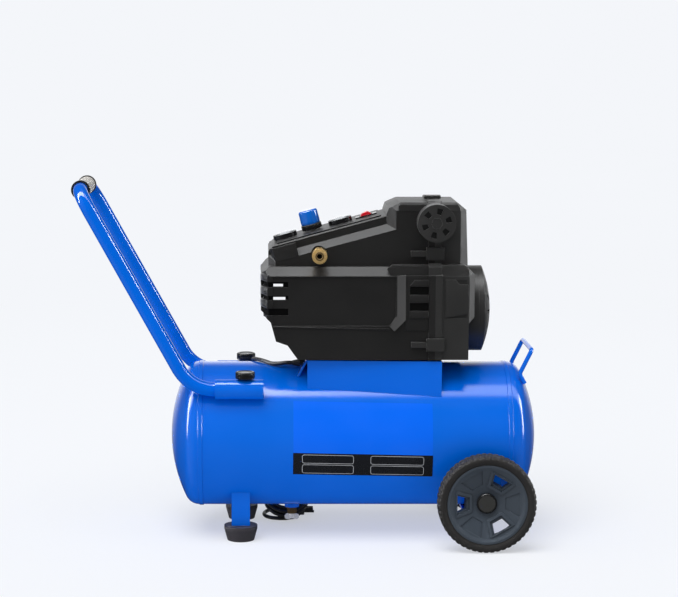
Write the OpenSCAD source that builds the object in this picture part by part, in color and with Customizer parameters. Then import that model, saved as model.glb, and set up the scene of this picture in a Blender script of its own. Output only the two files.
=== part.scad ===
// Portable air compressor: horizontal tank on two wheels and two rubber feet, with a
// shrouded oil-free pump on top and a push handle at the foot end.
// X runs along the tank towards the wheels, -Y is the control side, Z is up.
// Inside the modules X is measured from the middle of the tank.

/* [Tank] */
// Outside diameter of the tank
tank_d = 254; // [240:1:270]
// Thickness of the tank wall
tank_wall = 2.5; // [2:0.1:4]
// Length of the straight shell between the weld beads
shell_length = 536; // [510:1:600]
// Straight flange on each head
head_flange = 4; // [2:0.5:10]
// Width of the weld bead
bead_w = 8; // [6:0.5:12]
// Height of the weld bead
bead_h = 1.2; // [0.6:0.1:2]
// Height of the tank's underside above the floor
tank_clearance = 47; // [44:1:52]

/* [Wheels] */
// Outside diameter of the tyres
wheel_d = 168; // [156:1:176]
// Width of the tyres
tyre_w = 40; // [34:1:46]
// Height of the tyre section
tyre_depth = 15.5; // [12:0.5:18]
// Distance between the middle planes of the tyres
wheel_track = 336; // [330:1:360]
// Diameter of the axle bolts
axle_d = 12.7; // [10:0.1:14]
// Distance from the right end of the shell to the axle
axle_inset = 46; // [44:0.5:60]
// Diameter of the wheel hubs
hub_d = 30; // [26:0.5:34]
// Diameter of the hub caps
hub_cap_d = 34; // [30:0.5:38]
// Distance between the outer faces of the wheel bracket
bracket_span = 226; // [220:1:232]
// Thickness of the wheel bracket
bracket_t = 5; // [4:0.5:7]
// Width of the wheel bracket along the tank
bracket_w = 60; // [44:1:70]
// Radius to the middle of the wheel windows
window_r = 43; // [40:0.5:46]

/* [Feet] */
// Diameter of the top of each rubber foot
foot_top_d = 58; // [50:1:60]
// Diameter of the bottom of each rubber foot
foot_bottom_d = 47; // [40:1:50]
// Height of each rubber foot
foot_h = 26; // [22:1:32]
// Distance between the feet
foot_track = 166; // [160:1:172]
// Distance from the left end of the shell to the feet
foot_inset = 70; // [60:1:90]
// Width of each leg
leg_w = 32; // [26:1:38]
// Thickness of each leg
leg_t = 4; // [3:0.5:6]
// How far each leg stands outside the middle of its foot
leg_offset = 6; // [0:0.5:8]

/* [Handle] */
// Outside diameter of the handle tube
handle_d = 25; // [22:0.5:26]
// Wall of the handle tube
handle_wall = 2; // [1.5:0.1:3]
// How far the sockets' outsides stand in from the tank's sides
socket_set_in = 2; // [0:0.5:6]
// Lean of the arms from upright, in degrees
handle_lean = 29; // [20:0.2:40]
// Length of each arm between its bend corners
handle_arm = 390; // [360:1:440]
// Radius of the lower bends
handle_bend_r = 70; // [60:1:90]
// Radius of the upper corners
handle_corner_r = 38; // [34:1:45]
// Outside diameter of the foam grip
grip_d = 30; // [28:0.5:34]
// Straight bar left beside the foam grip at each end
grip_end = 7; // [6:0.5:15]
// Outside diameter of the collars at the grip's ends
collar_d = 33; // [31:0.5:36]
// Width of each grip collar
collar_w = 5; // [3:0.5:5]
// Outside diameter of the handle sockets
socket_d = 34; // [32:0.5:38]
// Length of the handle sockets
socket_l = 83.5; // [80:0.5:95]
// Distance from the left end of the shell to the socket mouths
socket_inset = 26; // [20:0.5:40]
// Diameter of the lock knobs
knob_d = 34; // [30:0.5:38]
// Height of the lock knobs
knob_h = 14; // [12:0.5:18]
// Distance from the socket mouths to the lock knobs
knob_inset = 52; // [48:0.5:56]
// Diameter of the lock knob studs
stud_d = 10; // [8:0.5:12]

/* [Lift handle] */
// Rod diameter of the lift handle
lift_d = 8; // [6:0.5:10]
// Distance between the two legs of the lift handle
lift_span = 126; // [110:1:140]
// Height of the lift handle above its lower bend
lift_rise = 42; // [36:1:60]
// Lean of the lift handle from upright, in degrees
lift_lean = 26; // [15:1:35]

/* [Pump deck] */
// Length of the pump deck
deck_l = 232; // [224:1:236]
// Middle of the pump deck along the tank
deck_x = 33.5; // [32:0.5:36]
// Height of the deck's underside above the top of the tank
deck_gap = 12; // [8:0.5:20]
// Thickness of the deck and its side plates
deck_t = 4; // [3:0.5:5]
// Width of the deck over its side plates at the left end
deck_w_left = 172; // [168:1:176]
// Width of the deck over its side plates at the right end
deck_w_right = 196; // [192:1:198]
// Thickness of the rubber pads under the shroud
pad_t = 3; // [2:0.5:4]

/* [Shroud] */
// Wall of the shroud
shroud_wall = 4; // [3:0.25:4.5]
// Overall width of the lower body
body_w = 200; // [198:1:208]
// Overall width of the console and the tower
console_w = 156; // [152:1:164]
// Width of the console's top
console_top_w = 124; // [116:1:128]
// Height of the lower body's top above the deck
body_h = 163; // [160:1:166]
// Height of the low end of the console above the deck
console_h = 198; // [196:1:206]
// Slope of the console, in degrees
console_slope = 15.1; // [14:0.1:16]
// Height of the tower above the deck
tower_h = 272; // [268:1:280]
// Depth of the bare name panels
panel_recess = 2; // [1:0.25:2.5]
// Width of the rib along the seam
seam_w = 23; // [18:1:26]
// Height of the rib along the seam
seam_h = 3; // [2:0.5:4]
// Diameter of the round fan end
fan_end_d = 150; // [146:1:154]
// Length of the round fan end beyond the seam, without its dome
fan_end_l = 79; // [76:1:86]
// Height of the dome on the fan end
dome_h = 15; // [10:0.5:20]

/* [Controls] */
// Diameter of the gauge bezels
gauge_d = 42; // [38:0.5:44]
// Height of the gauge bezels above the panel
gauge_h = 8; // [6:0.5:10]
// Diameter of the regulator knob's skirt
regulator_d = 36; // [32:0.5:38]
// Height of the regulator knob
regulator_h = 37; // [34:1:48]
// Length of the rocker
rocker_l = 21; // [18:0.5:24]
// Width of the rocker
rocker_w = 13; // [10:0.5:14]
// Outside diameter of the coupler sleeve
coupler_d = 26; // [24:0.5:28]
// Bore of the coupler
coupler_bore = 9.5; // [8:0.1:10.5]
// How far the coupler's front stands out from the middle plane
coupler_front = 115; // [112:1:120]
// Diameter of the filter cap
filter_d = 65; // [60:1:68]
// How far the filter cap's front stands out from the middle plane
filter_front = 115; // [113:1:120]
// Height of the filter above the deck
filter_h = 240; // [236:1:242]
// Thickness of the control panel
panel_t = 2; // [1.5:0.25:3]

/* [Motor and pump] */
// Height of the shaft above the deck
shaft_h = 81; // [80:0.5:84]
// Diameter of the shaft
shaft_d = 15; // [13:0.5:16]
// Outside diameter of the stator
stator_d = 120; // [114:1:124]
// Bore of the stator
stator_bore = 71; // [66:0.5:74]
// Length of the stator
stator_l = 60; // [50:1:64]
// Position of the cylinder axis and of the shroud's seam along the tank
pump_x = 137; // [136:0.5:138]
// Cylinder bore
bore_d = 60; // [54:0.5:62]
// Piston stroke
stroke = 18; // [14:0.5:20]
// Distance between the centres of the connecting rod
rod_l = 75; // [74:0.5:78]
// Diameter of the cooling fan
fan_d = 124; // [110:1:130]

/* [Drain] */
// Distance of the drain from the middle of the tank
drain_x = -107.5; // [-112:0.5:-104]
// Diameter of the drain bung
bung_d = 26; // [22:0.5:30]
// Length of the wing from its axis
wing_l = 8; // [6:0.5:10]

/* [Cord] */
// Diameter of the power cord
cord_d = 7; // [6.5:0.25:7.2]
// Turns in the put-away coil
coil_turns = 6.25; // [5.25, 6.25]
// Distance between neighbouring turns and layers of the coil
coil_pitch = 7.6; // [7.6:0.1:8]
// Radius of the coil's outer turns
coil_r = 41; // [40:0.5:43]

/* [Fits] */
// Radial clearance of turning and sliding fits
run_fit = 0.06; // [0.03:0.01:0.08]
// Radial clearance of fixed fits
seat_fit = 0.1; // [0.05:0.01:0.15]
// Gap between faces that move past each other
face_gap = 0.4; // [0.3:0.05:0.6]

/* [Hidden] */
$fn = 64;
reach = 400;
tank_r = tank_d / 2;
tank_z = tank_clearance + tank_r;
shell_x0 = -shell_length / 2;
shell_x1 = shell_length / 2;
// Dished heads: the crown's radius is the tank's diameter and the knuckle's is a tenth of it
head_crown_r = tank_d;
head_knuckle_r = tank_d / 10;
head_rise = head_crown_r - sqrt(pow(head_crown_r - head_knuckle_r, 2) - pow(tank_r - head_knuckle_r, 2));
head_depth = head_flange + head_rise;

// Handle geometry
socket_x0 = shell_x0 + socket_inset;
socket_x1 = socket_x0 + socket_l;
socket_y = tank_r - socket_set_in - socket_d / 2;
socket_z = tank_z + sqrt(pow(tank_r + socket_d / 2 + face_gap, 2) - pow(socket_y, 2));
handle_turn = 90 - handle_lean;
handle_lead = 1;
bend_x = socket_x0 - handle_lead;
corner_x = bend_x - handle_bend_r * tan(handle_turn / 2);
arm_dir = [-sin(handle_lean), 0, cos(handle_lean)];
bar_x = corner_x + handle_arm * arm_dir[0];
bar_z = socket_z + handle_arm * arm_dir[2];
tube_end_x = socket_x1 - 3;
knob_x = socket_x0 + knob_inset;
knob_z = socket_z + socket_d / 2 + face_gap;
bar_straight = 2 * socket_y - 2 * handle_corner_r;
grip_l = bar_straight - 2 * grip_end;

// The bounding box is centred on X = 0
origin_shift = -(bar_x - collar_d / 2 + shell_x1 + head_depth) / 2;

// Running gear
axle_x = shell_x1 - axle_inset;
axle_z = wheel_d / 2;
wheel_y = wheel_track / 2;
rim_r = wheel_d / 2 - tyre_depth;
rim_out_y = wheel_y + tyre_w / 2 - 2;
hub_out_y = wheel_y;
bracket_y = bracket_span / 2;
washer_t = 3;
cap_h = 6.6;
foot_x = shell_x0 + foot_inset;
foot_y = foot_track / 2;
foot_band = 6;
leg_y = foot_y + leg_offset;
leg_sunk = 16;

// Deck and machinery heights
deck_z = tank_z + tank_r + deck_gap + deck_t;
deck_x0 = deck_x - deck_l / 2;
deck_x1 = deck_x + deck_l / 2;
shaft_z = deck_z + shaft_h;
crank_throw = stroke / 2;
body_y = body_w / 2;
console_y = console_w / 2;
console_x0 = -150;
console_start = -140;
tower_x0 = 54;
tower_x1 = 195;
body_x0 = -163;
body_x1 = 205;
seam_x0 = pump_x - seam_w / 2;
seam_x1 = pump_x + seam_w / 2;
fan_end_x = pump_x + fan_end_l;
fan_rim_l = 9;

// Motor and pump
bracket_x = -66;
bracket_plate = 14;
bearing_od = 35;
bearing_w = 11;
case_x = 92;
case_plate = 12;
case_top = deck_z + 138;
case_shelf = 8;
motor_pcd = 104;
motor_bolt_d = 6;
stator_x0 = -stator_l / 2;
winding_l = 15;
eccentric_d = 40;
eccentric_w = 14;
big_end_d = 56;
rod_w = 12;
rod_shank = 14;
small_end_d = 16;
wrist_d = 8;
wrist_l = 24;
crown_t = 5.5;
pin_z = shaft_z + crank_throw + rod_l;
crown_z = pin_z + small_end_d / 2 + stroke + 2.5 + crown_t;
skirt_z = case_top + stroke + 0.5;
cylinder_top = crown_z + 2;
cylinder_d = bore_d + 12;
fin_d = bore_d + 32;
head_top = deck_z + 255;
head_d = 90;
fan_x = 186;
fan_w = 22;
intake_d = 18;
filter_z = deck_z + filter_h;
filter_back = console_y + seam_h + face_gap;
filter_wall = 2.5;

// Console places, measured up the slope from its low end
gauge_u = [22, 122];
regulator_u = 71;
rocker_u = 168;
rocker_n = 0;
safety_u = 42;
manifold_u = [8, 150];
manifold_n = [-46, -22];
manifold_y = 12;
port_n = -34;
function slope_x(u, n) = console_start + u * cos(console_slope) - n * sin(console_slope);
function slope_z(u, n) = deck_z + console_h + u * sin(console_slope) + n * cos(console_slope);
coupler_x = slope_x(regulator_u, port_n);
coupler_z = slope_z(regulator_u, port_n);
safety_x = slope_x(safety_u, port_n);
safety_z = slope_z(safety_u, port_n);

// Tank fittings
check_x = 68;
check_d = 20;
check_port_z = deck_z + 18;
check_port_y = 16;
line_y = 62;
feed_u = 140;
boss_d = 16;
drain_z = tank_clearance - 7;

// Cord: it leaves the deck's sloping end, crosses the tank and comes down behind it to a
// coil on the floor, and the plug lies behind the coil
gland_y = -40;
gland_z = deck_z - 11;
gland_x = -82;
// The coil leans back against the tank, and stays this far from it
coil_lean = 40;
coil_seat = 1;
coil_up = [0, sin(coil_lean), cos(coil_lean)];
coil_over = [0, cos(coil_lean), -sin(coil_lean)];
coil_x = -118;
coil_z = coil_r * cos(coil_lean) + 3 * coil_pitch * sin(coil_lean) + cord_d / 2 + 0.4;
coil_y = (tank_r + cord_d / 2 + coil_seat - (tank_z - coil_z) * sin(coil_lean)) / cos(coil_lean);
coil_mid = [coil_x, coil_y, coil_z];
coil_start = coil_mid + [coil_r, 0, 0];
// The route round the tank is drawn for this radius and height of the tank, and grows with it
route_tank_r = 127;
route_tank_z = 167;
function round_tank(p) = [
    p[0], p[1] * tank_r / route_tank_r, tank_z + (p[2] - route_tank_z) * tank_r / route_tank_r
];
route_points = [
    [-130, -36, 297], [-143, -27, 295.5], [-156, -13, 297.5], [-168, 5, 298], [-176, 26, 295.5],
    [-175, 48, 289], [-166, 68, 279], [-154, 86, 266], [-146, 103, 248.5], [-142, 116, 229],
    [-141, 126, 206], [-142, 131.5, 183], [-140, 134.5, 160], [-134, 133.5, 138], [-124, 128.5, 118],
    [-111, 120.5, 101], [-98, 110.5, 87], [-87, 99.5, 75], [-79.5, 88, 67]
];
// Gap between the ends of the cord's solids
cord_joint = 0.1;
cord_route = concat(
    [[gland_x - 26, gland_y, gland_z], [gland_x - 36, gland_y, gland_z]],
    [for (p = route_points) round_tank(p)],
    [coil_start + (cord_d + 8) * coil_up, coil_start + (cord_d + cord_joint) * coil_up]
);

// The coil's turns run in and out in four layers, and move over where they turn back
coil_layer = coil_turns / 4;
coil_ring_count = 24;
function ease(t) = t <= 0 ? 0 : t >= 1 ? 1 : t * t * (3 - 2 * t);
function coil_radius(t) = coil_r - coil_pitch * abs(t - 2 * coil_layer * round(t / (2 * coil_layer)));
function coil_shift(t) = coil_pitch * (
    ease(2 * (t - coil_layer) + 0.5)
    + ease(2 * (t - 2 * coil_layer) + 0.5)
    + ease(2 * (t - 3 * coil_layer) + 0.5)
);
function coil_point(t) = coil_mid + coil_radius(t) * cos(-360 * t) * [1, 0, 0]
    + coil_radius(t) * sin(-360 * t) * coil_up + coil_shift(t) * coil_over;
coil_count = round(coil_turns * coil_ring_count);
coil_turned = [for (i = [0:coil_count]) coil_point(coil_turns * i / coil_count)];
coil_end = coil_turned[coil_count] + [-cord_d, 0, 0];
coil_path = concat([coil_start + cord_d * coil_up], coil_turned, [coil_end]);
// The tail turns back behind the coil
tail_steps = [
    [-cord_joint, 0, 0], [-4, 0, 0], [-18, 4, 0.2], [-28, 14, 0.8], [-32, 28, 2],
    [-28, 42, 3.4], [-18, 52, 4.6], [-4, 56, 5.1], [4, 56, 5.1]
];
tail_route = [for (s = tail_steps) coil_end + s];
plug_at = tail_route[len(tail_route) - 1];
plug_h = 2 * plug_at[2];
function gap_pairs(p) = [for (i = [0:len(p) - 1]) for (j = [i + 12:1:len(p) - 1]) norm(p[i] - p[j])];
function path_length(p, i = 0) = i >= len(p) - 1 ? 0 : norm(p[i + 1] - p[i]) + path_length(p, i + 1);
echo(coil_least_gap = min(gap_pairs(coil_path)) - cord_d);
echo(cord_length = path_length(cord_route) + path_length(coil_path) + path_length(tail_route));

// Helpers

function unit(v) = v / norm(v);

// Moves every edge of an outline inwards by d; the outline runs anticlockwise
function inward(a, b) = [a[1] - b[1], b[0] - a[0]] / norm(b - a);
function inset(pts, d) = [
    for (i = [0:len(pts) - 1])
        let (a = pts[(i + len(pts) - 1) % len(pts)], b = pts[i], c = pts[(i + 1) % len(pts)])
        let (m = inward(a, b), n = inward(b, c))
        b + (m + n) * d / (1 + m * n)
];

module box(x0, x1, y0, y1, z0, z1) translate([x0, y0, z0]) cube([x1 - x0, y1 - y0, z1 - z0]);
module rod_x(d, x0, x1, y, z) translate([x0, y, z]) rotate([0, 90, 0]) cylinder(d = d, h = x1 - x0);
module rod_y(d, x, y0, y1, z) translate([x, y0, z]) rotate([-90, 0, 0]) cylinder(d = d, h = y1 - y0);
module rod_z(d, x, y, z0, z1) translate([x, y, z0]) cylinder(d = d, h = z1 - z0);
module prism_x(pts) rotate([90, 0, 90]) linear_extrude(4 * reach, center = true) polygon(pts);
module prism_y(pts) rotate([90, 0, 0]) linear_extrude(4 * reach, center = true) polygon(pts);
module prism_z(pts) linear_extrude(4 * reach, center = true) polygon(pts);

// A straight round bar between two points
module strut(p, q, d) {
    v = q - p;
    translate(p) rotate([0, acos(v[2] / norm(v)), atan2(v[1], v[0])]) cylinder(d = d, h = norm(v));
}

// A round elbow: it starts at origin + r * e1, heads along e2 and turns about the origin
module elbow(origin, e1, e2, r, d, angle) {
    e3 = cross(e1, e2);
    multmatrix([
        [e1[0], e2[0], e3[0], origin[0]],
        [e1[1], e2[1], e3[1], origin[1]],
        [e1[2], e2[2], e3[2], origin[2]],
        [0, 0, 0, 1]
    ]) rotate_extrude(angle = angle) translate([r, 0]) circle(d = d);
}

// A pipe along points, with ball corners a little fuller than the pipe
module pipe_run(pts, d) {
    for (i = [0:len(pts) - 2]) strut(pts[i], pts[i + 1], d);
    for (i = [1:1:len(pts) - 2]) translate(pts[i]) sphere(d = d + 0.4);
}

// A tube swept along points, closed by flat ends
module swept(pts, d, sides) {
    n = len(pts);
    tangents = [for (i = [0:n - 1]) unit(pts[min(i + 1, n - 1)] - pts[max(i - 1, 0)])];
    across = [for (t = tangents) let (up = abs(t[2]) > 0.9 ? [1, 0, 0] : [0, 0, 1]) unit(cross(up, t))];
    // Turn the start vector along the path so that the rings do not twist
    firsts = carried(tangents, across[0]);
    points = [
        for (i = [0:n - 1]) for (k = [0:sides - 1])
            let (b = cross(tangents[i], firsts[i]), a = 360 * k / sides)
            pts[i] + d / 2 * (cos(a) * firsts[i] + sin(a) * b)
    ];
    walls = [
        for (i = [0:n - 2]) for (k = [0:sides - 1])
            let (a = i * sides + k, b = i * sides + (k + 1) % sides)
            each [[a, a + sides, b], [b, a + sides, b + sides]]
    ];
    caps = [
        for (k = [1:sides - 2])
            each [[0, k, k + 1], [(n - 1) * sides, (n - 1) * sides + k + 1, (n - 1) * sides + k]]
    ];
    polyhedron(points = points, faces = concat(walls, caps), convexity = 8);
}
function carried(tangents, first, i = 0) =
    i >= len(tangents) ? [] :
    let (v = unit(first - tangents[i] * (first * tangents[i])))
    concat([v], carried(tangents, v, i + 1));

module tank_solid() rod_x(tank_d, shell_x0 - 1, shell_x1 + 1, 0, tank_z);
module console_frame() translate([console_start, 0, deck_z + console_h])
    rotate([0, -console_slope, 0]) children();

// Tank

module tank_shell() color("royalblue") difference() {
    rod_x(tank_d, shell_x0, shell_x1, 0, tank_z);
    rod_x(tank_d - 2 * tank_wall, shell_x0 - 1, shell_x1 + 1, 0, tank_z);
    rod_z(bung_d + 2 * seat_fit, drain_x, 0, 0, tank_z);
    rod_z(check_d + 2 * seat_fit, check_x, 0, tank_z, deck_z);
}

// Half section of a dished head, inset by the wall
module head_outline(wall) {
    r = tank_r - wall;
    knuckle = head_knuckle_r - wall;
    crown = head_crown_r - wall;
    centre = head_rise - head_crown_r;
    hub = tank_r - head_knuckle_r;
    touch = atan2(hub, -centre);
    intersection() {
        translate([hub, 0]) circle(r = knuckle);
        square(tank_d);
    }
    translate([0, -head_flange]) square([r, head_flange]);
    intersection() {
        translate([0, centre]) circle(r = crown, $fn = 128);
        polygon([
            [0, 0], [hub, 0],
            [2 * head_crown_r * sin(touch), centre + 2 * head_crown_r * cos(touch)],
            [0, 2 * head_crown_r]
        ]);
    }
}

module tank_head(side) color("royalblue") translate([side * (shell_length / 2 + head_flange), 0, tank_z])
    rotate([0, side * 90, 0]) rotate_extrude() {
        difference() {
            head_outline(0);
            translate([0, -0.01]) head_outline(tank_wall);
        }
        translate([tank_r, -head_flange - bead_w / 2]) difference() {
            square([bead_h, bead_w]);
            translate([bead_h, 0]) rotate(45) square(bead_h, center = true);
            translate([bead_h, bead_w]) rotate(45) square(bead_h, center = true);
        }
    }

// Feet

module front_legs() color("royalblue") for (side = [-1, 1]) difference() {
    box(foot_x - leg_w / 2, foot_x + leg_w / 2,
        side * leg_y - leg_t / 2, side * leg_y + leg_t / 2, foot_h - leg_sunk, tank_z);
    tank_solid();
}

module rubber_feet() color("dimgray") for (side = [-1, 1]) difference() {
    translate([foot_x, side * foot_y, 0]) {
        cylinder(d1 = foot_bottom_d, d2 = foot_top_d, h = foot_h - foot_band);
        translate([0, 0, foot_h - foot_band]) cylinder(d = foot_top_d, h = foot_band);
    }
    box(foot_x - leg_w / 2 - seat_fit, foot_x + leg_w / 2 + seat_fit,
        side * leg_y - leg_t / 2 - seat_fit, side * leg_y + leg_t / 2 + seat_fit,
        foot_h - leg_sunk, foot_h + 1);
}

// Wheels

module wheel_bracket() color("royalblue") difference() {
    union() {
        box(axle_x - bracket_w / 2, axle_x + bracket_w / 2, -bracket_y, bracket_y,
            tank_clearance - bracket_t, tank_clearance);
        for (side = [-1, 1])
            box(axle_x - bracket_w / 2, axle_x + bracket_w / 2,
                side * (bracket_y - bracket_t / 2) - bracket_t / 2,
                side * (bracket_y - bracket_t / 2) + bracket_t / 2,
                tank_clearance - bracket_t, tank_z);
    }
    tank_solid();
    rod_y(axle_d + 2 * seat_fit, axle_x, -reach, reach, axle_z);
}

// The bolt carries the wheel outside the bracket and is held by a nut inside it
module axle_bolts() color("silver") for (side = [-1, 1]) mirror([0, side < 0 ? 1 : 0, 0]) {
    rod_y(axle_d, axle_x, bracket_y - bracket_t - 7, hub_out_y + cap_h - 1.6, axle_z);
    rod_y(hub_d - 8, axle_x, bracket_y, bracket_y + washer_t - face_gap, axle_z);
    translate([axle_x, bracket_y - bracket_t - 6, axle_z])
        rotate([-90, 0, 0]) cylinder(d = 17, h = 6, $fn = 6);
}

module hub_caps() color("black") for (side = [-1, 1]) mirror([0, side < 0 ? 1 : 0, 0]) difference() {
    union() {
        rod_y(hub_cap_d, axle_x, hub_out_y + face_gap, hub_out_y + cap_h - 2, axle_z);
        translate([axle_x, hub_out_y + cap_h - 2, axle_z])
            rotate([-90, 0, 0]) cylinder(d1 = hub_cap_d, d2 = hub_cap_d - 6, h = 2);
    }
    rod_y(axle_d + 2 * run_fit, axle_x, hub_out_y - 1, hub_out_y + cap_h - 1.6, axle_z);
}

// The dish's face slopes from beside the hub out to the rim's edge
dish_r = [hub_d / 2 + 8, rim_r - 9];
dish_y = [wheel_y + 1, rim_out_y - 3];
dish_slope = atan2(dish_y[1] - dish_y[0], dish_r[1] - dish_r[0]);
window_y = dish_y[0] + (window_r - dish_r[0]) * tan(dish_slope);
frame_rise = 3.5;

// Trapezium on the dish, narrower towards the hub
module dish_patch(inward, outward, near_w, far_w)
    polygon([[-inward, -near_w / 2], [outward, -far_w / 2], [outward, far_w / 2], [-inward, near_w / 2]]);

module wheel_rim(side) color("dimgray")
    mirror([0, side < 0 ? 1 : 0, 0]) translate([axle_x, 0, axle_z]) rotate([-90, 0, 0]) difference() {
        union() {
            rotate_extrude() {
                translate([0, bracket_y + washer_t]) square([hub_d / 2, hub_out_y - bracket_y - washer_t]);
                polygon([
                    [hub_d / 2 - 1, wheel_y - 14], [dish_r[1], wheel_y + 4], [dish_r[1], wheel_y - 18],
                    [rim_r - seat_fit, wheel_y - 18], [rim_r - seat_fit, rim_out_y],
                    [rim_r - 4, rim_out_y], [dish_r[1], dish_y[1]],
                    [dish_r[0], dish_y[0]], [hub_d / 2 - 1, wheel_y - 1]
                ]);
            }
            // Raised frames round the windows
            for (a = [60, 180, 300]) rotate(a) translate([window_r, 0, window_y]) rotate([0, -dish_slope, 0])
                translate([0, 0, -5]) linear_extrude(5 + frame_rise) dish_patch(18, 12, 30, 47);
        }
        translate([0, 0, bracket_y]) cylinder(d = axle_d + 2 * run_fit, h = reach);
        for (a = [60, 180, 300]) rotate(a) translate([window_r, 0, window_y]) rotate([0, -dish_slope, 0]) {
            translate([0, 0, -30]) linear_extrude(60) dish_patch(9.5, 8.5, 18, 30);
            translate([0, 0, -1]) linear_extrude(30) dish_patch(13, 10, 22, 37);
        }
        // Shallow panels between the windows
        for (a = [0, 120, 240]) rotate(a) translate([window_r, 0, window_y]) rotate([0, -dish_slope, 0])
            translate([0, 0, -1.2]) linear_extrude(20) dish_patch(12, 13, 20, 42);
    }

module tyre(side) color("darkslategray")
    mirror([0, side < 0 ? 1 : 0, 0]) translate([axle_x, wheel_y, axle_z]) rotate([-90, 0, 0])
        rotate_extrude() polygon([
            [rim_r, -tyre_w / 2 + 3], [rim_r + tyre_depth / 2, -tyre_w / 2],
            [rim_r + tyre_depth - 2, -tyre_w / 2 + 2.5], [rim_r + tyre_depth, -tyre_w / 2 + 8],
            [rim_r + tyre_depth, tyre_w / 2 - 8], [rim_r + tyre_depth - 2, tyre_w / 2 - 2.5],
            [rim_r + tyre_depth / 2, tyre_w / 2], [rim_r, tyre_w / 2 - 3]
        ]);

// Push handle

module handle_sockets() color("royalblue")
for (side = [-1, 1]) mirror([0, side < 0 ? 1 : 0, 0]) difference() {
    union() {
        rod_x(socket_d, socket_x0, socket_x1, socket_y, socket_z);
        // Weld along the tank
        translate([0, 0, tank_z]) rotate([atan2(socket_z - tank_z, socket_y), 0, 0])
            box(socket_x0 + 4, socket_x1 - 4, tank_r - 2, tank_r + 4, -4, 4);
    }
    tank_solid();
    rod_x(handle_d + 2 * run_fit, socket_x0 - 1, socket_x1 + 1, socket_y, socket_z);
    rod_z(stud_d + 2 * run_fit, knob_x, socket_y, socket_z, knob_z + 1);
}

// The bends are a little thinner than the straights, which run over their ends
bend_lap = 2;
module handle_path(d, extra) {
    rod_y(d, bar_x, -bar_straight / 2 - bend_lap, bar_straight / 2 + bend_lap, bar_z);
    for (side = [-1, 1]) mirror([0, side > 0 ? 1 : 0, 0]) {
        y = -socket_y;
        low = [corner_x, y, socket_z] + handle_bend_r * tan(handle_turn / 2) * arm_dir;
        high = [bar_x, y, bar_z] - handle_corner_r * arm_dir;
        rod_x(d, bend_x - bend_lap, tube_end_x + extra, y, socket_z);
        elbow([bend_x, y, socket_z + handle_bend_r], [0, 0, -1], [-1, 0, 0],
              handle_bend_r, d - 0.3, handle_turn);
        strut(low - bend_lap * arm_dir, high + bend_lap * arm_dir, d);
        elbow(high + [0, handle_corner_r, 0], [0, -1, 0], arm_dir, handle_corner_r, d - 0.3, 90);
    }
}

module handle_tube() color("royalblue") difference() {
    handle_path(handle_d, 0);
    handle_path(handle_d - 2 * handle_wall, 1);
}

module handle_grip() color("lightgray") difference() {
    rod_y(grip_d, bar_x, -grip_l / 2, grip_l / 2, bar_z);
    rod_y(handle_d + 2 * seat_fit, bar_x, -reach, reach, bar_z);
}

module grip_collars() color("black") for (side = [-1, 1]) mirror([0, side < 0 ? 1 : 0, 0]) difference() {
    rod_y(collar_d, bar_x, grip_l / 2, grip_l / 2 + collar_w, bar_z);
    rod_y(handle_d + 2 * seat_fit, bar_x, 0, reach, bar_z);
}

module lock_knob(side) color("black") translate([knob_x, side * socket_y, 0]) {
    translate([0, 0, socket_z + handle_d / 2 + face_gap])
        cylinder(d = stud_d, h = knob_z - socket_z - handle_d / 2);
    difference() {
        translate([0, 0, knob_z]) cylinder(d = knob_d, h = knob_h);
        for (a = [0:45:315]) rotate(a)
            translate([knob_d / 2 + 2.6, 0, knob_z + 2]) cylinder(d = 9, h = knob_h);
        translate([0, 0, knob_z + knob_h - 2]) cylinder(d = knob_d - 14, h = 3);
    }
}

// Lift handle at the wheel end

// Its feet lie along the knuckle of the head, a weld's width clear of it
lift_angle = 32;
lift_seat = head_knuckle_r + lift_d / 2 + 0.15;
lift_foot_r = tank_r - head_knuckle_r + lift_seat * sin(lift_angle);
lift_foot = [
    shell_x1 + head_flange + lift_seat * cos(lift_angle), lift_span / 2,
    tank_z + sqrt(pow(lift_foot_r, 2) - pow(lift_span / 2, 2))
];
lift_knee = lift_foot + [-9, 0, 17];
lift_top = lift_knee + lift_rise * [tan(lift_lean), 0, 1];
module lift_handle() color("royalblue") {
    rod_y(lift_d, lift_top[0], -lift_span / 2, lift_span / 2, lift_top[2]);
    for (side = [-1, 1]) mirror([0, side < 0 ? 1 : 0, 0]) {
        strut(lift_foot, lift_knee, lift_d);
        strut(lift_knee, lift_top, lift_d);
        // The bends swell a little
        for (p = [lift_knee, lift_top]) translate(p) sphere(d = lift_d + 0.3);
    }
}

// Drain

module drain_bung() color("royalblue") difference() {
    rod_z(bung_d, drain_x, 0, drain_z, tank_clearance + tank_wall);
    rod_z(13, drain_x, 0, drain_z - 1, tank_z);
}

module drain_valve() color("goldenrod") difference() {
    union() {
        rod_z(13 - 2 * seat_fit, drain_x, 0, drain_z - 1, tank_clearance);
        translate([drain_x, 0, drain_z - 12]) cylinder(d = 17, h = 12, $fn = 6);
    }
    rod_z(5, drain_x, 0, drain_z - 5, tank_z);
    rod_z(6 + 2 * run_fit, drain_x, 0, 0, drain_z - 5);
}

module drain_wing() color("silver") {
    top = drain_z - 12 - face_gap;
    rod_z(6, drain_x, 0, top - 9, drain_z - 5.5);
    rod_z(10, drain_x, 0, top - 9, top);
    for (a = [0, 180]) translate([drain_x, 0, 0]) rotate(a) {
        box(3, wing_l, -1.6, 1.6, top - 11, top - 1);
        rod_y(10, wing_l, -1.6, 1.6, top - 6);
    }
}

// Pump deck

function deck_edge(x) = (deck_w_left + (deck_w_right - deck_w_left) * (x - deck_x0) / deck_l) / 2;

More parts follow.
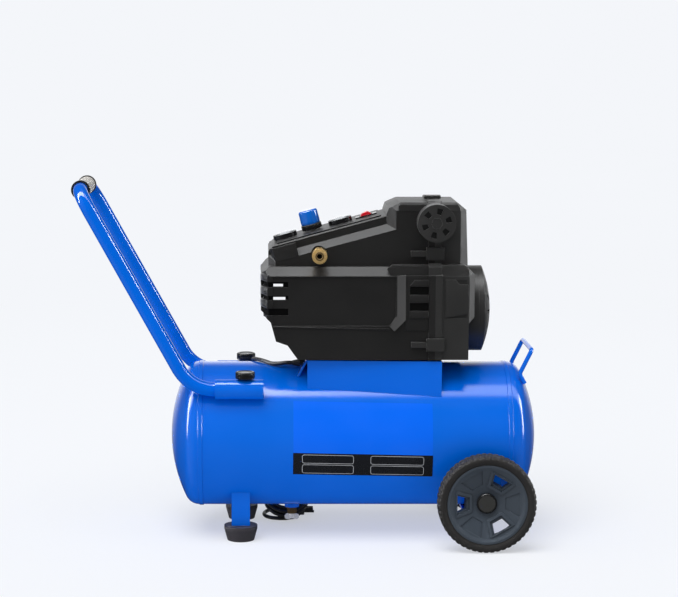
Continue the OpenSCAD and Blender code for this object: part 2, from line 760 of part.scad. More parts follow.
module pump_deck() color("royalblue") difference() {
    union() {
        translate([0, 0, deck_z - deck_t]) linear_extrude(deck_t) polygon([
            [deck_x0, -deck_edge(deck_x0) + deck_t], [deck_x1, -deck_edge(deck_x1) + deck_t],
            [deck_x1, deck_edge(deck_x1) - deck_t], [deck_x0, deck_edge(deck_x0) - deck_t]
        ]);
        // Sloping end that the cord comes through
        intersection() {
            prism_y([[deck_x0 + 1, deck_z], [deck_x0, deck_z], [deck_x0 - 18, deck_z - 32],
                     [deck_x0 - 14, deck_z - 32], [deck_x0 + 1, deck_z - 5]]);
            box(-reach, reach, -64, 64, tank_z, deck_z);
        }
    }
    tank_solid();
    rod_z(check_d + 4, check_x, 0, tank_z, deck_z + 1);
    rod_x(cord_d + 4 + 2 * seat_fit, deck_x0 - 20, deck_x0 + 10, gland_y, gland_z);
}

module saddle_plates() color("royalblue") for (side = [-1, 1]) difference() {
    translate([0, 0, tank_z]) linear_extrude(deck_z - tank_z) polygon(side < 0 ?
        [[deck_x0, -deck_edge(deck_x0)], [deck_x1, -deck_edge(deck_x1)],
         [deck_x1, -deck_edge(deck_x1) + deck_t], [deck_x0, -deck_edge(deck_x0) + deck_t]] :
        [[deck_x0, deck_edge(deck_x0) - deck_t], [deck_x1, deck_edge(deck_x1) - deck_t],
         [deck_x1, deck_edge(deck_x1)], [deck_x0, deck_edge(deck_x0)]]);
    tank_solid();
}

// Places where the shroud stands on the deck
pad_places = [for (x = [deck_x0 + 14, deck_x0 + 180]) for (side = [-1, 1]) [x, side * 74]];
module shroud_pads() color("black") for (p = pad_places) rod_z(16, p[0], p[1], deck_z, deck_z + pad_t);

// Shroud: every outline runs anticlockwise and is inset by d

function lifted(pts) = [for (p = pts) [p[0], p[1] + deck_z]];
body_side = lifted([
    [-99, pad_t], [194.5, pad_t], [194.5, 66], [body_x1, 76], [body_x1, body_h - 13], [192, body_h],
    [-148, body_h], [body_x0, body_h - 13], [body_x0, 84], [-146, 68], [-137, 35], [-117, 28]
]);
body_section = lifted([
    [-body_y, pad_t], [body_y, pad_t], [body_y, body_h - 15], [body_y - 15, body_h],
    [-body_y + 15, body_h], [-body_y, body_h - 15]
]);
body_plan = [
    [body_x0, -body_y + 38], [-152, -body_y], [195, -body_y], [body_x1, -body_y + 10],
    [body_x1, body_y - 10], [195, body_y], [-152, body_y], [body_x0, body_y - 38]
];
console_end = tower_x0 + 26;
console_side = lifted([
    [console_x0, body_h - 6], [console_end, body_h - 6],
    [console_end, console_h + (console_end - console_start) * tan(console_slope)],
    [console_start, console_h], [console_x0, console_h - 10]
]);
console_section = [
    [-console_y, -140], [console_y, -140], [console_y, -27], [console_top_w / 2 + 2, -15],
    [console_top_w / 2 + 2, -2], [console_top_w / 2, 0], [-console_top_w / 2, 0],
    [-console_top_w / 2 - 2, -2], [-console_top_w / 2 - 2, -15], [-console_y, -27]
];
console_plan = [
    [console_x0, -console_y + 14], [console_x0 + 12, -console_y], [console_end, -console_y],
    [console_end, console_y], [console_x0 + 12, console_y], [console_x0, console_y - 14]
];
tower_side = lifted([
    [tower_x0, body_h - 6], [tower_x1, body_h - 6], [tower_x1 - 4, tower_h - 12], [tower_x1 - 19, tower_h],
    [tower_x0 + 23, tower_h], [tower_x0 + 4, tower_h - 9], [tower_x0, tower_h - 20]
]);
tower_section = lifted([
    [-console_y, body_h - 6], [console_y, body_h - 6], [console_y, tower_h - 13], [console_y - 14, tower_h],
    [-console_y + 14, tower_h], [-console_y, tower_h - 13]
]);
tower_plan = [
    [tower_x0, -console_y + 14], [tower_x0 + 16, -console_y], [tower_x1 - 14, -console_y],
    [tower_x1, -console_y + 12], [tower_x1, console_y - 12], [tower_x1 - 14, console_y],
    [tower_x0 + 16, console_y], [tower_x0, console_y - 14]
];

module body_form(d) intersection() {
    prism_y(inset(body_side, d));
    prism_x(inset(body_section, d));
    prism_z(inset(body_plan, d));
}
module console_form(d) intersection() {
    prism_y(inset(console_side, d));
    console_frame() prism_x(inset(console_section, d));
    prism_z(inset(console_plan, d));
}
module tower_form(d) intersection() {
    prism_y(inset(tower_side, d));
    prism_x(inset(tower_section, d));
    prism_z(inset(tower_plan, d));
}
module shroud_form(d) {
    body_form(d);
    console_form(d);
    tower_form(d);
}
module shroud_cavity() {
    body_form(shroud_wall);
    // The console and the tower open into the body, and the body opens at the bottom
    for (drop = [0, 2 * shroud_wall]) translate([0, 0, -drop]) {
        console_form(shroud_wall);
        tower_form(shroud_wall);
    }
    box(-93, 190, -body_y + shroud_wall, body_y - shroud_wall, deck_z, deck_z + pad_t + shroud_wall + 1);
    rod_x(fan_end_d - 2 * shroud_wall, pump_x, fan_end_x + 1, 0, shaft_z);
}

module shroud_openings() {
    console_frame() {
        for (u = gauge_u) rod_z(gauge_d - 4 + 2 * seat_fit, u, 0, -8, 8);
        rod_z(28 + 2 * seat_fit, regulator_u, 0, -8, 8);
        box(rocker_u - 17.2, rocker_u + 17.2, -10.2, 10.2, -8, 8);
    }
    rod_y(coupler_d + 2, coupler_x, -reach, 0, coupler_z);
    rod_y(18, safety_x, 0, reach, safety_z);
    rod_y(intake_d + 2 * seat_fit, pump_x, -reach, 0, filter_z);
    for (side = [-1, 1]) {
        // Louvre slots round the left corners
        for (z = [[80, 92], [107, 114], [129, 138]])
            box(-reach, -116, min(side * 58, side * reach), max(side * 58, side * reach),
                deck_z + z[0], deck_z + z[1]);
        // Vent slots beside the seam
        for (z = [78, 102, 130])
            box(92, seam_x0 - 3, min(side * 58, side * reach), max(side * 58, side * reach),
                deck_z + z, deck_z + z + 12);
    }
}

// Bare name panels and the plain panels beside the seam
module shroud_recesses() for (side = [-1, 1]) {
    y0 = min(side * (body_y - panel_recess), side * reach);
    y1 = max(side * (body_y - panel_recess), side * reach);
    intersection() {
        box(-reach, reach, y0, y1, 0, reach * 2);
        prism_y(lifted([[-143, 62], [58, 62], [69, 74], [69, body_h - 17], [-143, body_h - 17]]));
    }
    box(seam_x1 + 5, body_x1 - 14, y0, y1, deck_z + 76, deck_z + body_h - 22);
}

module shroud_shell() difference() {
    union() {
        shroud_form(0);
        intersection() {
            shroud_form(-seam_h);
            box(seam_x0, seam_x1, -reach, reach, deck_z + pad_t, deck_z + reach);
        }
        rod_x(fan_end_d, pump_x + seam_w / 2, fan_end_x, 0, shaft_z);
    }
    shroud_cavity();
    shroud_openings();
    shroud_recesses();
    box(-reach, reach, -reach, reach, 0, deck_z + pad_t);
}

module shroud_motor_half() color("#222326") {
    difference() {
        shroud_shell();
        box(pump_x, reach, -reach, reach, 0, deck_z + reach);
    }
    // Tabs that stand on the pads
    for (p = pad_places)
        box(p[0] - 9, p[0] + 9, min(sign(p[1]) * 64, sign(p[1]) * (body_y - 1)),
            max(sign(p[1]) * 64, sign(p[1]) * (body_y - 1)), deck_z + pad_t, deck_z + pad_t + 4);
}

module shroud_fan_half() color("#222326") difference() {
    shroud_shell();
    box(-reach, pump_x, -reach, reach, 0, deck_z + reach);
}

// Half section of the fan cover's outside, up to a radius
module dome_outline(r) {
    ball_r = (pow(fan_end_d / 2, 2) + pow(dome_h, 2)) / (2 * dome_h);
    intersection() {
        translate([0, fan_rim_l + dome_h - ball_r]) circle(r = ball_r, $fn = 128);
        square([r, fan_rim_l + dome_h]);
    }
}

module fan_cover() color("#1b1c1f") difference() {
    translate([fan_end_x, 0, shaft_z]) rotate([0, 90, 0]) rotate_extrude() difference() {
        dome_outline(fan_end_d / 2);
        translate([0, -shroud_wall]) dome_outline(fan_end_d / 2 - shroud_wall);
    }
    for (a = [0:30:330]) translate([0, 0, shaft_z]) rotate([a, 0, 0])
        box(fan_end_x + fan_rim_l, fan_end_x + reach, -3, 3, 26, 58);
}

// Clips that hold the two halves together
module seam_clip(y, z) {
    box(seam_x0 - 4, seam_x1 + 4, y + seam_h, y + seam_h + 6, z - 11, z + 11);
    box(seam_x0 - 30, seam_x0 - 2, y, y + seam_h + 4, z - 5, z + 5);
}
module seam_clips() color("#1b1c1f") {
    for (side = [-1, 1]) mirror([0, side < 0 ? 1 : 0, 0]) {
        // The upper clip sits midway between the body's top and the filter
        seam_clip(console_y, (deck_z + body_h + filter_z - filter_d / 2) / 2);
        seam_clip(body_y, deck_z + 30);
    }
    box(seam_x0 - 3, seam_x1 + 3, -12, 12, deck_z + tower_h + seam_h, deck_z + tower_h + seam_h + 5);
}

// Controls on the sloping console

module control_panel() color("#26272a") console_frame() difference() {
    box(6, 192, -console_top_w / 2 + 6, console_top_w / 2 - 6, 0, panel_t);
    for (u = gauge_u) rod_z(gauge_d - 4 + 2 * seat_fit, u, 0, -1, panel_t + 1);
    rod_z(28 + 2 * seat_fit, regulator_u, 0, -1, panel_t + 1);
    box(rocker_u - 17.2, rocker_u + 17.2, -10.2, 10.2, -1, panel_t + 1);
}

gauge_top = panel_t + gauge_h;
dial_n = panel_t + 2;
module gauge_cases() color("black") console_frame() for (u = gauge_u) difference() {
    union() {
        rod_z(gauge_d, u, 0, panel_t, gauge_top);
        rod_z(gauge_d - 4, u, 0, -12, panel_t);
        rod_z(12, u, 0, manifold_n[1], -12);
    }
    rod_z(gauge_d - 5, u, 0, dial_n, gauge_top + 1);
    rod_z(3 + 2 * run_fit, u, 0, dial_n - 3, gauge_top);
}

module gauge_lenses() color("lightcyan") console_frame() for (u = gauge_u)
    rod_z(gauge_d - 5 - 2 * seat_fit, u, 0, gauge_top - 2.5, gauge_top - 0.5);

module needle(u) color("red") console_frame() translate([u, 0, 0]) {
    rod_z(3, 0, 0, dial_n - 2.5, dial_n + 1.6);
    rotate(225) translate([0, 0, dial_n + 0.6]) linear_extrude(0.8)
        polygon([[-5, -0.9], [gauge_d / 2 - 7, -0.35], [gauge_d / 2 - 7, 0.35], [-5, 0.9]]);
}

module regulator_knob() color("royalblue") console_frame()
    translate([regulator_u, 0, panel_t + 2 + face_gap])
    difference() {
        union() {
            cylinder(d = regulator_d, h = 12);
            translate([0, 0, 12]) cylinder(d = regulator_d - 4, h = regulator_h - 14);
        }
        translate([0, 0, -1]) cylinder(d = 14 + 2 * run_fit, h = regulator_h / 2 + 1);
        for (a = [0:60:300]) rotate(a)
            translate([regulator_d / 2 + 4, 0, 13]) cylinder(d = 15, h = regulator_h);
    }

// Manifold with the regulator's bonnet and stem
module air_manifold() color("silver") console_frame() {
    box(manifold_u[0], manifold_u[1], -manifold_y, manifold_y, manifold_n[0], manifold_n[1]);
    rod_z(28, regulator_u, 0, manifold_n[1], panel_t + 2);
    rod_z(14, regulator_u, 0, panel_t + 2, panel_t + regulator_h / 2);
}

module pressure_switch() color("black") console_frame() difference() {
    union() {
        box(manifold_u[1], rocker_u + 22, -16, 16, manifold_n[0] + 4, -14);
        box(rocker_u - 17, rocker_u + 17, -10, 10, -14, panel_t);
        difference() {
            box(rocker_u - 19, rocker_u + 19, -12, 12, panel_t, panel_t + 2);
            box(rocker_u - rocker_l / 2 - 1, rocker_u + rocker_l / 2 + 1,
                -rocker_w / 2 - 1, rocker_w / 2 + 1, 0, 9);
        }
    }
    box(rocker_u - rocker_l / 2 - 1, rocker_u + rocker_l / 2 + 1,
        -rocker_w / 2 - face_gap, rocker_w / 2 + face_gap,
        -8, panel_t + 3);
    rod_y(3 + 2 * run_fit, rocker_u, -9, 9, rocker_n);
}

// The rocker rests tipped, with its upper end out
module switch_rocker() color("red") console_frame() translate([rocker_u, 0, rocker_n]) rotate([0, -8, 0]) {
    intersection() {
        rod_y(rocker_l, 0, -rocker_w / 2, rocker_w / 2, 0);
        box(-rocker_l, rocker_l, -rocker_w, rocker_w, -2, panel_t + 7);
    }
    rod_y(3, 0, -8.5, 8.5, 0);
}

module coupler_body() color("goldenrod") difference() {
    union() {
        rod_y(14, coupler_x, -coupler_front + 20, -manifold_y, coupler_z);
        rod_y(20, coupler_x, -coupler_front, -coupler_front + 34, coupler_z);
        rod_y(coupler_d - 1, coupler_x, -coupler_front + 27, -coupler_front + 32, coupler_z);
    }
    rod_y(coupler_bore, coupler_x, -coupler_front - 1, -coupler_front + 24, coupler_z);
}

module coupler_sleeve() color("goldenrod") difference() {
    rod_y(coupler_d, coupler_x, -coupler_front + 1, -coupler_front + 22, coupler_z);
    rod_y(20 + 2 * run_fit, coupler_x, -reach, reach, coupler_z);
}

safety_y = console_y + 20;
module safety_valve() color("goldenrod") difference() {
    union() {
        rod_y(12, safety_x, manifold_y, safety_y, safety_z);
        translate([safety_x, console_y + 2, safety_z]) rotate([-90, 0, 0]) cylinder(d = 16, h = 8, $fn = 6);
    }
    rod_y(4 + 2 * run_fit, safety_x, safety_y - 12, reach, safety_z);
}

module safety_ring() color("silver") {
    rod_y(4, safety_x, safety_y - 11, safety_y + 6, safety_z);
    translate([safety_x, safety_y + 16, safety_z]) rotate([0, 90, 0])
        rotate_extrude() translate([11, 0]) circle(d = 2.6);
}

// Intake filter on the tower

module filter_base() color("#1b1c1f") difference() {
    union() {
        rod_y(filter_d - 2 * filter_wall - 2 * run_fit, pump_x, -filter_back - 10, -filter_back, filter_z);
        rod_y(intake_d, pump_x, -filter_back - 2, -head_d / 2 + 1, filter_z);
    }
    rod_y(intake_d - 5, pump_x, -reach, 0, filter_z);
}

module filter_element() color("gainsboro") difference() {
    rod_y(filter_d - 2 * filter_wall - 2, pump_x,
          -filter_front + filter_wall + 2, -filter_back - 10, filter_z);
    rod_y(intake_d - 5, pump_x, -filter_front + 8, 0, filter_z);
}

module filter_cap() color("#1b1c1f") translate([pump_x, 0, filter_z]) rotate([90, 0, 0]) difference() {
    translate([0, 0, filter_back + face_gap])
        cylinder(d = filter_d, h = filter_front - filter_back - face_gap);
    translate([0, 0, filter_back - 1])
        cylinder(d = filter_d - 2 * filter_wall, h = filter_front - filter_back - filter_wall + 1);
    for (k = [0:5]) rotate(77 + 60 * k) translate([filter_d / 2 - 12, 0, 0]) linear_extrude(reach)
        polygon([[-5, -3.6], [5, -5.4], [5, 5.4], [-5, 3.6]]);
}

// Motor and pump inside the shroud

motor_bolt_off = motor_pcd * sin(45) / 2;
motor_bolts = [
    for (y = [-1, 1]) for (z = [-1, 1]) [y * motor_bolt_off, shaft_z + z * motor_bolt_off]
];

// End plate, crankcase plate, pump shelf and the four through bolts
module motor_frame() color("gray") {
    difference() {
        union() {
            box(bracket_x, bracket_x + bracket_plate, -46, 46, deck_z, shaft_z + 46);
            box(case_x, case_x + case_plate, -48, 48, deck_z, case_top);
            box(case_x, pump_x + fin_d / 2 - 6, -fin_d / 2 + 4, fin_d / 2 - 4,
                case_top - case_shelf, case_top);
        }
        rod_x(bearing_od, bracket_x + 2, bracket_x + bracket_plate + 1, 0, shaft_z);
        rod_x(bearing_od, case_x - 1, case_x + case_plate + 1, 0, shaft_z);
        rod_z(bore_d + 2, pump_x, 0, case_top - case_shelf - 1, case_top + 1);
    }
    for (b = motor_bolts) rod_x(motor_bolt_d, bracket_x + bracket_plate, case_x, b[0], b[1]);
}

module motor_stator() color("darkgray") difference() {
    union() {
        rod_x(stator_d, stator_x0, stator_x0 + stator_l, 0, shaft_z);
        rod_x(stator_d - 26, stator_x0 - winding_l, stator_x0 + stator_l + winding_l, 0, shaft_z);
    }
    rod_x(stator_bore, -reach, reach, 0, shaft_z);
    for (b = motor_bolts) rod_x(motor_bolt_d + 2 * seat_fit, -reach, reach, b[0], b[1]);
}

module crankshaft() color("silver") {
    rod_x(shaft_d, bracket_x + 3, fan_x + fan_w, 0, shaft_z);
    rod_x(stator_bore - 2 * face_gap, stator_x0, stator_x0 + stator_l, 0, shaft_z);
    rod_x(eccentric_d, pump_x - eccentric_w / 2, pump_x + eccentric_w / 2, 0, shaft_z + crank_throw);
    intersection() {
        rod_x(68, case_x + case_plate + 8, pump_x - eccentric_w / 2, 0, shaft_z);
        box(0, reach, -reach, reach, 0, shaft_z - 4);
    }
}

module cooling_fan() color("#2a2b2e") difference() {
    union() {
        rod_x(36, fan_x, fan_x + fan_w, 0, shaft_z);
        for (a = [0:45:315]) translate([fan_x + fan_w / 2, 0, shaft_z]) rotate([a, 0, 0])
            rotate([0, 0, 28]) box(-fan_w / 2 + 1, fan_w / 2 - 1, -1.2, 1.2, 12, fan_d / 2);
    }
    rod_x(shaft_d, fan_x - 10, fan_x + fan_w + 10, 0, shaft_z);
}

module pump_bearings() color("gainsboro") for (x = [bracket_x + 2.5, case_x + 0.5]) difference() {
    rod_x(bearing_od - 2 * seat_fit, x, x + bearing_w, 0, shaft_z);
    rod_x(shaft_d + 2 * run_fit, -reach, reach, 0, shaft_z);
}

module connecting_rod() color("lightgray") {
    eye_z = shaft_z + crank_throw;
    difference() {
        union() {
            rod_x(big_end_d, pump_x - rod_w / 2, pump_x + rod_w / 2, 0, eye_z);
            box(pump_x - rod_w / 2, pump_x + rod_w / 2, -rod_shank / 2, rod_shank / 2, eye_z, pin_z);
            rod_x(small_end_d, pump_x - rod_w / 2, pump_x + rod_w / 2, 0, pin_z);
        }
        rod_x(eccentric_d + 2 * run_fit, 0, reach, 0, eye_z);
    }
    rod_x(wrist_d, pump_x - wrist_l / 2, pump_x + wrist_l / 2, 0, pin_z);
}

module piston() color("silver") difference() {
    rod_z(bore_d - 2 * run_fit, pump_x, 0, skirt_z, crown_z);
    rod_z(bore_d - 8, pump_x, 0, skirt_z - 1, crown_z - crown_t);
}

// Finned cylinder
module pump_cylinder() color("darkgray") difference() {
    union() {
        rod_z(cylinder_d, pump_x, 0, case_top, cylinder_top);
        for (z = [case_top:12:cylinder_top - 14]) rod_z(fin_d, pump_x, 0, z, z + 5);
        rod_z(fin_d, pump_x, 0, cylinder_top - 8, cylinder_top);
    }
    rod_z(bore_d, pump_x, 0, case_top - 1, cylinder_top + 1);
}

// Head with its intake port on the near side and its delivery boss on the far side
module cylinder_head() color("darkgray") difference() {
    union() {
        rod_z(fin_d, pump_x, 0, cylinder_top, cylinder_top + 6);
        rod_z(head_d, pump_x, 0, cylinder_top + 6, head_top);
        rod_y(boss_d, pump_x, 0, head_d / 2 + 2, filter_z);
    }
    rod_y(intake_d + 2 * seat_fit, pump_x, -reach, -head_d / 4, filter_z);
    for (x = [-30:15:30])
        box(pump_x + x - 2, pump_x + x + 2, -reach, reach, filter_z + intake_d / 2 + 4, reach * 2);
}

// Check valve on the tank with a delivery port on each side
module check_valve() color("goldenrod") {
    rod_z(check_d, check_x, 0, tank_z + tank_r - tank_wall - 1, check_port_z + 12);
    rod_y(boss_d - 2, check_x, -check_port_y, check_port_y, check_port_z);
}

// Delivery line from the head to the check valve, and feed line from there to the manifold
module air_lines() color("peru") {
    pipe_run([
        [check_x, check_port_y, check_port_z], [check_x, line_y, check_port_z],
        [pump_x, line_y, check_port_z], [pump_x, line_y, filter_z], [pump_x, head_d / 2 + 2, filter_z]
    ], 10);
    pipe_run([
        [check_x, -check_port_y, check_port_z], [check_x, -line_y, check_port_z],
        [check_x, -line_y, slope_z(feed_u, port_n)],
        [slope_x(feed_u, port_n), -line_y, slope_z(feed_u, port_n)],
        [slope_x(feed_u, port_n), -manifold_y, slope_z(feed_u, port_n)]
    ], 8);
}

// Cord

module strain_relief() color("black") {
    rod_x(cord_d + 4, cord_route[0][0] + 12, gland_x, gland_y, gland_z);
    translate([cord_route[0][0], gland_y, gland_z]) rotate([0, 90, 0])
        cylinder(d1 = cord_d + 1, d2 = cord_d + 7, h = 14);
}

module power_cord() color("black") {
    swept(cord_route, cord_d, 8);
    swept(tail_route, cord_d, 8);
}

module cord_coil() color("black") swept(coil_path, cord_d, 6);

// Three-pin plug lying on the floor, with its blades ahead
module power_plug() color("black") translate(plug_at) {
    rotate([0, 90, 0]) cylinder(d1 = cord_d + 2, d2 = cord_d + 6, h = 12);
    intersection() {
        prism_z([[11, -7], [20, -12], [36, -12], [38, -10], [38, 10], [36, 12], [20, 12], [11, 7]]);
        prism_x([[-12, -plug_h / 2], [12, -plug_h / 2], [12, plug_h / 2 - 5], [7, plug_h / 2],
                 [-7, plug_h / 2], [-12, plug_h / 2 - 5]]);
        box(11, 38, -20, 20, -20, 20);
    }
    for (y = [-6.35, 6.35]) box(37, 54, y - 0.75, y + 0.75, -3.2, 3.2);
    rod_x(4.8, 37, 56, 0, -plug_h / 2 + 4);
}

// Every node is drawn in the common frame
module place() translate([origin_shift, 0, 0]) children();

place() tank_shell();
place() tank_head(-1);  // tank_head_left
place() tank_head(1);  // tank_head_right
place() front_legs();
place() rubber_feet();
place() wheel_bracket();
place() axle_bolts();
place() hub_caps();
place() wheel_rim(-1);  // wheel_rim_near
place() wheel_rim(1);  // wheel_rim_far
place() tyre(-1);  // tyre_near
place() tyre(1);  // tyre_far
place() handle_sockets();
place() handle_tube();
place() handle_grip();
place() grip_collars();
place() lock_knob(-1);  // lock_knob_near
place() lock_knob(1);  // lock_knob_far
place() lift_handle();
place() drain_bung();
place() drain_valve();
place() drain_wing();
place() pump_deck();
place() saddle_plates();
place() shroud_pads();
place() shroud_motor_half();
place() shroud_fan_half();
place() fan_cover();
place() seam_clips();
place() control_panel();
place() gauge_cases();
place() gauge_lenses();
place() needle(gauge_u[0]);  // tank_needle
place() needle(gauge_u[1]);  // outlet_needle
place() air_manifold();
place() regulator_knob();
place() pressure_switch();
place() switch_rocker();
place() coupler_body();
place() coupler_sleeve();
place() safety_valve();
place() safety_ring();
place() filter_base();
place() filter_element();
place() filter_cap();
place() motor_frame();
place() motor_stator();
place() crankshaft();
place() cooling_fan();
place() pump_bearings();
place() connecting_rod();
place() piston();
place() pump_cylinder();
place() cylinder_head();
place() check_valve();
place() air_lines();
place() strain_relief();
place() power_cord();
place() cord_coil();
place() power_plug();
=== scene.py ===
"""A wheeled portable air compressor on a pale studio floor."""
import math

import bmesh
import bpy
from mathutils import Matrix, Vector


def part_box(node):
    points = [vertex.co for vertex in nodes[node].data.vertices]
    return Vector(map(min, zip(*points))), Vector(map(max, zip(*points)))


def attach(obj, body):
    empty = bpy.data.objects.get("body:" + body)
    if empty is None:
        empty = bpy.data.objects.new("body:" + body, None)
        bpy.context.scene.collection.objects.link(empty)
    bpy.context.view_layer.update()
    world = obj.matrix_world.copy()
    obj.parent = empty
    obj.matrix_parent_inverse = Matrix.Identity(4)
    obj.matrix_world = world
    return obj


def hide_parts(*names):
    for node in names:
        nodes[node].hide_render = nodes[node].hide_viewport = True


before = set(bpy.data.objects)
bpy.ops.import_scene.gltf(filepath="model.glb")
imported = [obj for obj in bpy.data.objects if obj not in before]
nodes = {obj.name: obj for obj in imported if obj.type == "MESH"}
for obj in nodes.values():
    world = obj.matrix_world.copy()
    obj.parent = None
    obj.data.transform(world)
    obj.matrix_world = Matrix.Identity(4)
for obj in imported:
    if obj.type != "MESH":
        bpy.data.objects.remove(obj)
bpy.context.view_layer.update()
scene = bpy.context.scene
scene.view_settings.view_transform = "Standard"

# The drawing measures X from the middle of the tank, the frame from the middle of the box
SHIFT = 84.2951
TANK_R = 127.0
TANK_Z = 174.0
DECK_Z = 317.0
SLOPE = math.radians(15.1)


def at(x, y, z):
    """A point of the drawing, in millimetres, as a point of the frame in metres."""
    return Vector((x + SHIFT, y, z)) / 1000


# Camera, fitted to the photo: the picture's width and middle and the focal length are in pixels

IMAGE_W, CENTRE_PX, FOCAL_PX = 678, 262, 2055.0
SENSOR_MM = 36
CAMERA_AT, CAMERA_DOWN = (-161, -3600, 869), 7.2
camera_data = bpy.data.cameras.new("camera")
camera_data.sensor_width = SENSOR_MM
camera_data.lens = FOCAL_PX * SENSOR_MM / IMAGE_W
camera_data.shift_x = (IMAGE_W / 2 - CENTRE_PX) / IMAGE_W
camera_data.clip_end = 80
camera = bpy.data.objects.new("camera", camera_data)
camera.location = at(*CAMERA_AT)
camera.rotation_euler = (math.radians(90 - CAMERA_DOWN), 0, 0)
scene.collection.objects.link(camera)
scene.camera = camera


# Pieces

def add(name, mesh, body, material, replaced=()):
    """A piece with a finish, on a body, that may stand for nodes of the frame."""
    piece = bpy.data.objects.new(name, mesh)
    scene.collection.objects.link(piece)
    mesh.materials.append(material)
    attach(piece, body)
    if replaced:
        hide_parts(*replaced)
    return piece


def from_bmesh(name, bm, smooth=True, angle=35):
    """A mesh with its faces turned outwards, smooth up to an angle between faces."""
    mesh = bpy.data.meshes.new(name)
    bmesh.ops.recalc_face_normals(bm, faces=bm.faces)
    bm.to_mesh(mesh)
    bm.free()
    if smooth:
        mesh.shade_smooth()
        mesh.set_sharp_from_angle(angle=math.radians(angle))
    return mesh


def tipped(centre, degrees):
    """A place at a point in metres, with its Z axis tipped about X."""
    return Matrix.Translation(centre * 1000) @ Matrix.Rotation(math.radians(degrees), 4, "X")


def lathe(profile, steps, place, closed=True, wave=None, bm=None):
    """Turns an outline of (radius, height) about Z and moves it by a matrix; wave may change each point."""
    bm = bm or bmesh.new()
    rings = []
    for i in range(steps):
        a = 2 * math.pi * i / steps
        ring = []
        for k, (r, h) in enumerate(profile):
            if wave is not None:
                r, h = wave(i, k, r, h)
            ring.append(bm.verts.new(place @ Vector((r * math.cos(a), r * math.sin(a), h)) / 1000))
        rings.append(ring)
    count = len(profile)
    for i in range(steps):
        a, b = rings[i], rings[(i + 1) % steps]
        for k in range(count if closed else count - 1):
            m = (k + 1) % count
            bm.faces.new((a[k], b[k], b[m], a[m]))
    bmesh.ops.remove_doubles(bm, verts=bm.verts, dist=1e-7)
    bmesh.ops.dissolve_degenerate(bm, edges=bm.edges, dist=1e-7)
    return bm


def prism(bm, outline, low, high, place):
    """An outline in the XY plane, drawn up along Z and moved by a matrix."""
    floor, roof = [[bm.verts.new(place @ Vector((x, y, h)) / 1000) for x, y in outline]
                   for h in (low, high)]
    count = len(outline)
    bm.faces.new(floor)
    bm.faces.new(roof)
    for i in range(count):
        j = (i + 1) % count
        bm.faces.new((floor[i], floor[j], roof[j], roof[i]))


def loft(bm, rows):
    """A closed skin over rows of points of the drawing, all of the same count."""
    rings = [[bm.verts.new(at(*point)) for point in row] for row in rows]
    for a, b in zip(rings, rings[1:]):
        for k in range(len(a)):
            m = (k + 1) % len(a)
            bm.faces.new((a[k], b[k], b[m], a[m]))
    bm.faces.new(rings[0])
    bm.faces.new(rings[-1])


def side_plane(side):
    """Outlines in X and Z stand on the near or the far side, drawn out from the middle plane."""
    return Matrix(((1, 0, 0, SHIFT), (0, 0, side, 0), (0, 1, 0, 0), (0, 0, 0, 1)))


def soften(bm, width):
    """Bevels all edges."""
    bmesh.ops.recalc_face_normals(bm, faces=bm.faces)
    bmesh.ops.bevel(bm, geom=list(bm.edges), offset=width / 1000, segments=2, profile=0.6,
                    affect="EDGES")


def tube(name, points, diameter):
    """A round tube along points in metres, with closed ends."""
    curve = bpy.data.curves.new(name, "CURVE")
    curve.dimensions = "3D"
    curve.bevel_depth = diameter / 2000
    curve.bevel_resolution = 5
    curve.use_fill_caps = True
    spline = curve.splines.new("POLY")
    spline.points.add(len(points) - 1)
    for point, place in zip(spline.points, points):
        point.co = (*place, 1.0)
    spline.use_smooth = True
    return curve


# Materials

class Graph:
    """A material's nodes, with short ways to add and join them."""

    def __init__(self, name):
        self.material = bpy.data.materials.new(name)
        self.material.use_nodes = True
        self.tree = self.material.node_tree
        self.shader = self.tree.nodes["Principled BSDF"]
        self.where = self.tree.nodes.new("ShaderNodeTexCoord").outputs["Object"]

    def node(self, kind, inputs, **settings):
        made = self.tree.nodes.new(kind)
        for key, value in settings.items():
            setattr(made, key, value)
        for key, value in inputs.items():
            if isinstance(value, bpy.types.NodeSocket):
                self.tree.links.new(value, made.inputs[key])
            else:
                made.inputs[key].default_value = value
        return made

    def noise(self, scale, detail=2.0, stretch=None):
        where = self.where
        if stretch is not None:
            where = self.node("ShaderNodeMapping", {"Vector": where, "Scale": stretch}).outputs[0]
        return self.node("ShaderNodeTexNoise", {
            "Vector": where, "Scale": scale, "Detail": detail}).outputs["Fac"]

    def span(self, value, low, high, start=0.3, end=0.7):
        """Low up to the start of the value's range, high from its end, and even between them."""
        return self.node("ShaderNodeMapRange", {
            "Value": value, "From Min": start, "From Max": end, "To Min": low, "To Max": high}).outputs[0]

    def blend(self, factor, one, two):
        """Two colours mixed: the mix node takes them at 6 and 7 and gives the colour at 2."""
        return self.node("ShaderNodeMix", {0: factor, 6: one, 7: two}, data_type="RGBA").outputs[2]

    def maths(self, kind, *values):
        return self.node("ShaderNodeMath", dict(enumerate(values)), operation=kind).outputs[0]

    def set(self, **values):
        """Sets the shader's inputs, with an underscore for each space in a name."""
        for key, value in values.items():
            socket = self.shader.inputs[key.replace("_", " ")]
            if isinstance(value, bpy.types.NodeSocket):
                self.tree.links.new(value, socket)
            else:
                socket.default_value = value


def shade(colour, factor):
    """A colour made lighter or darker, with its alpha."""
    return tuple(min(1.0, c * factor) for c in colour) + (1.0,)


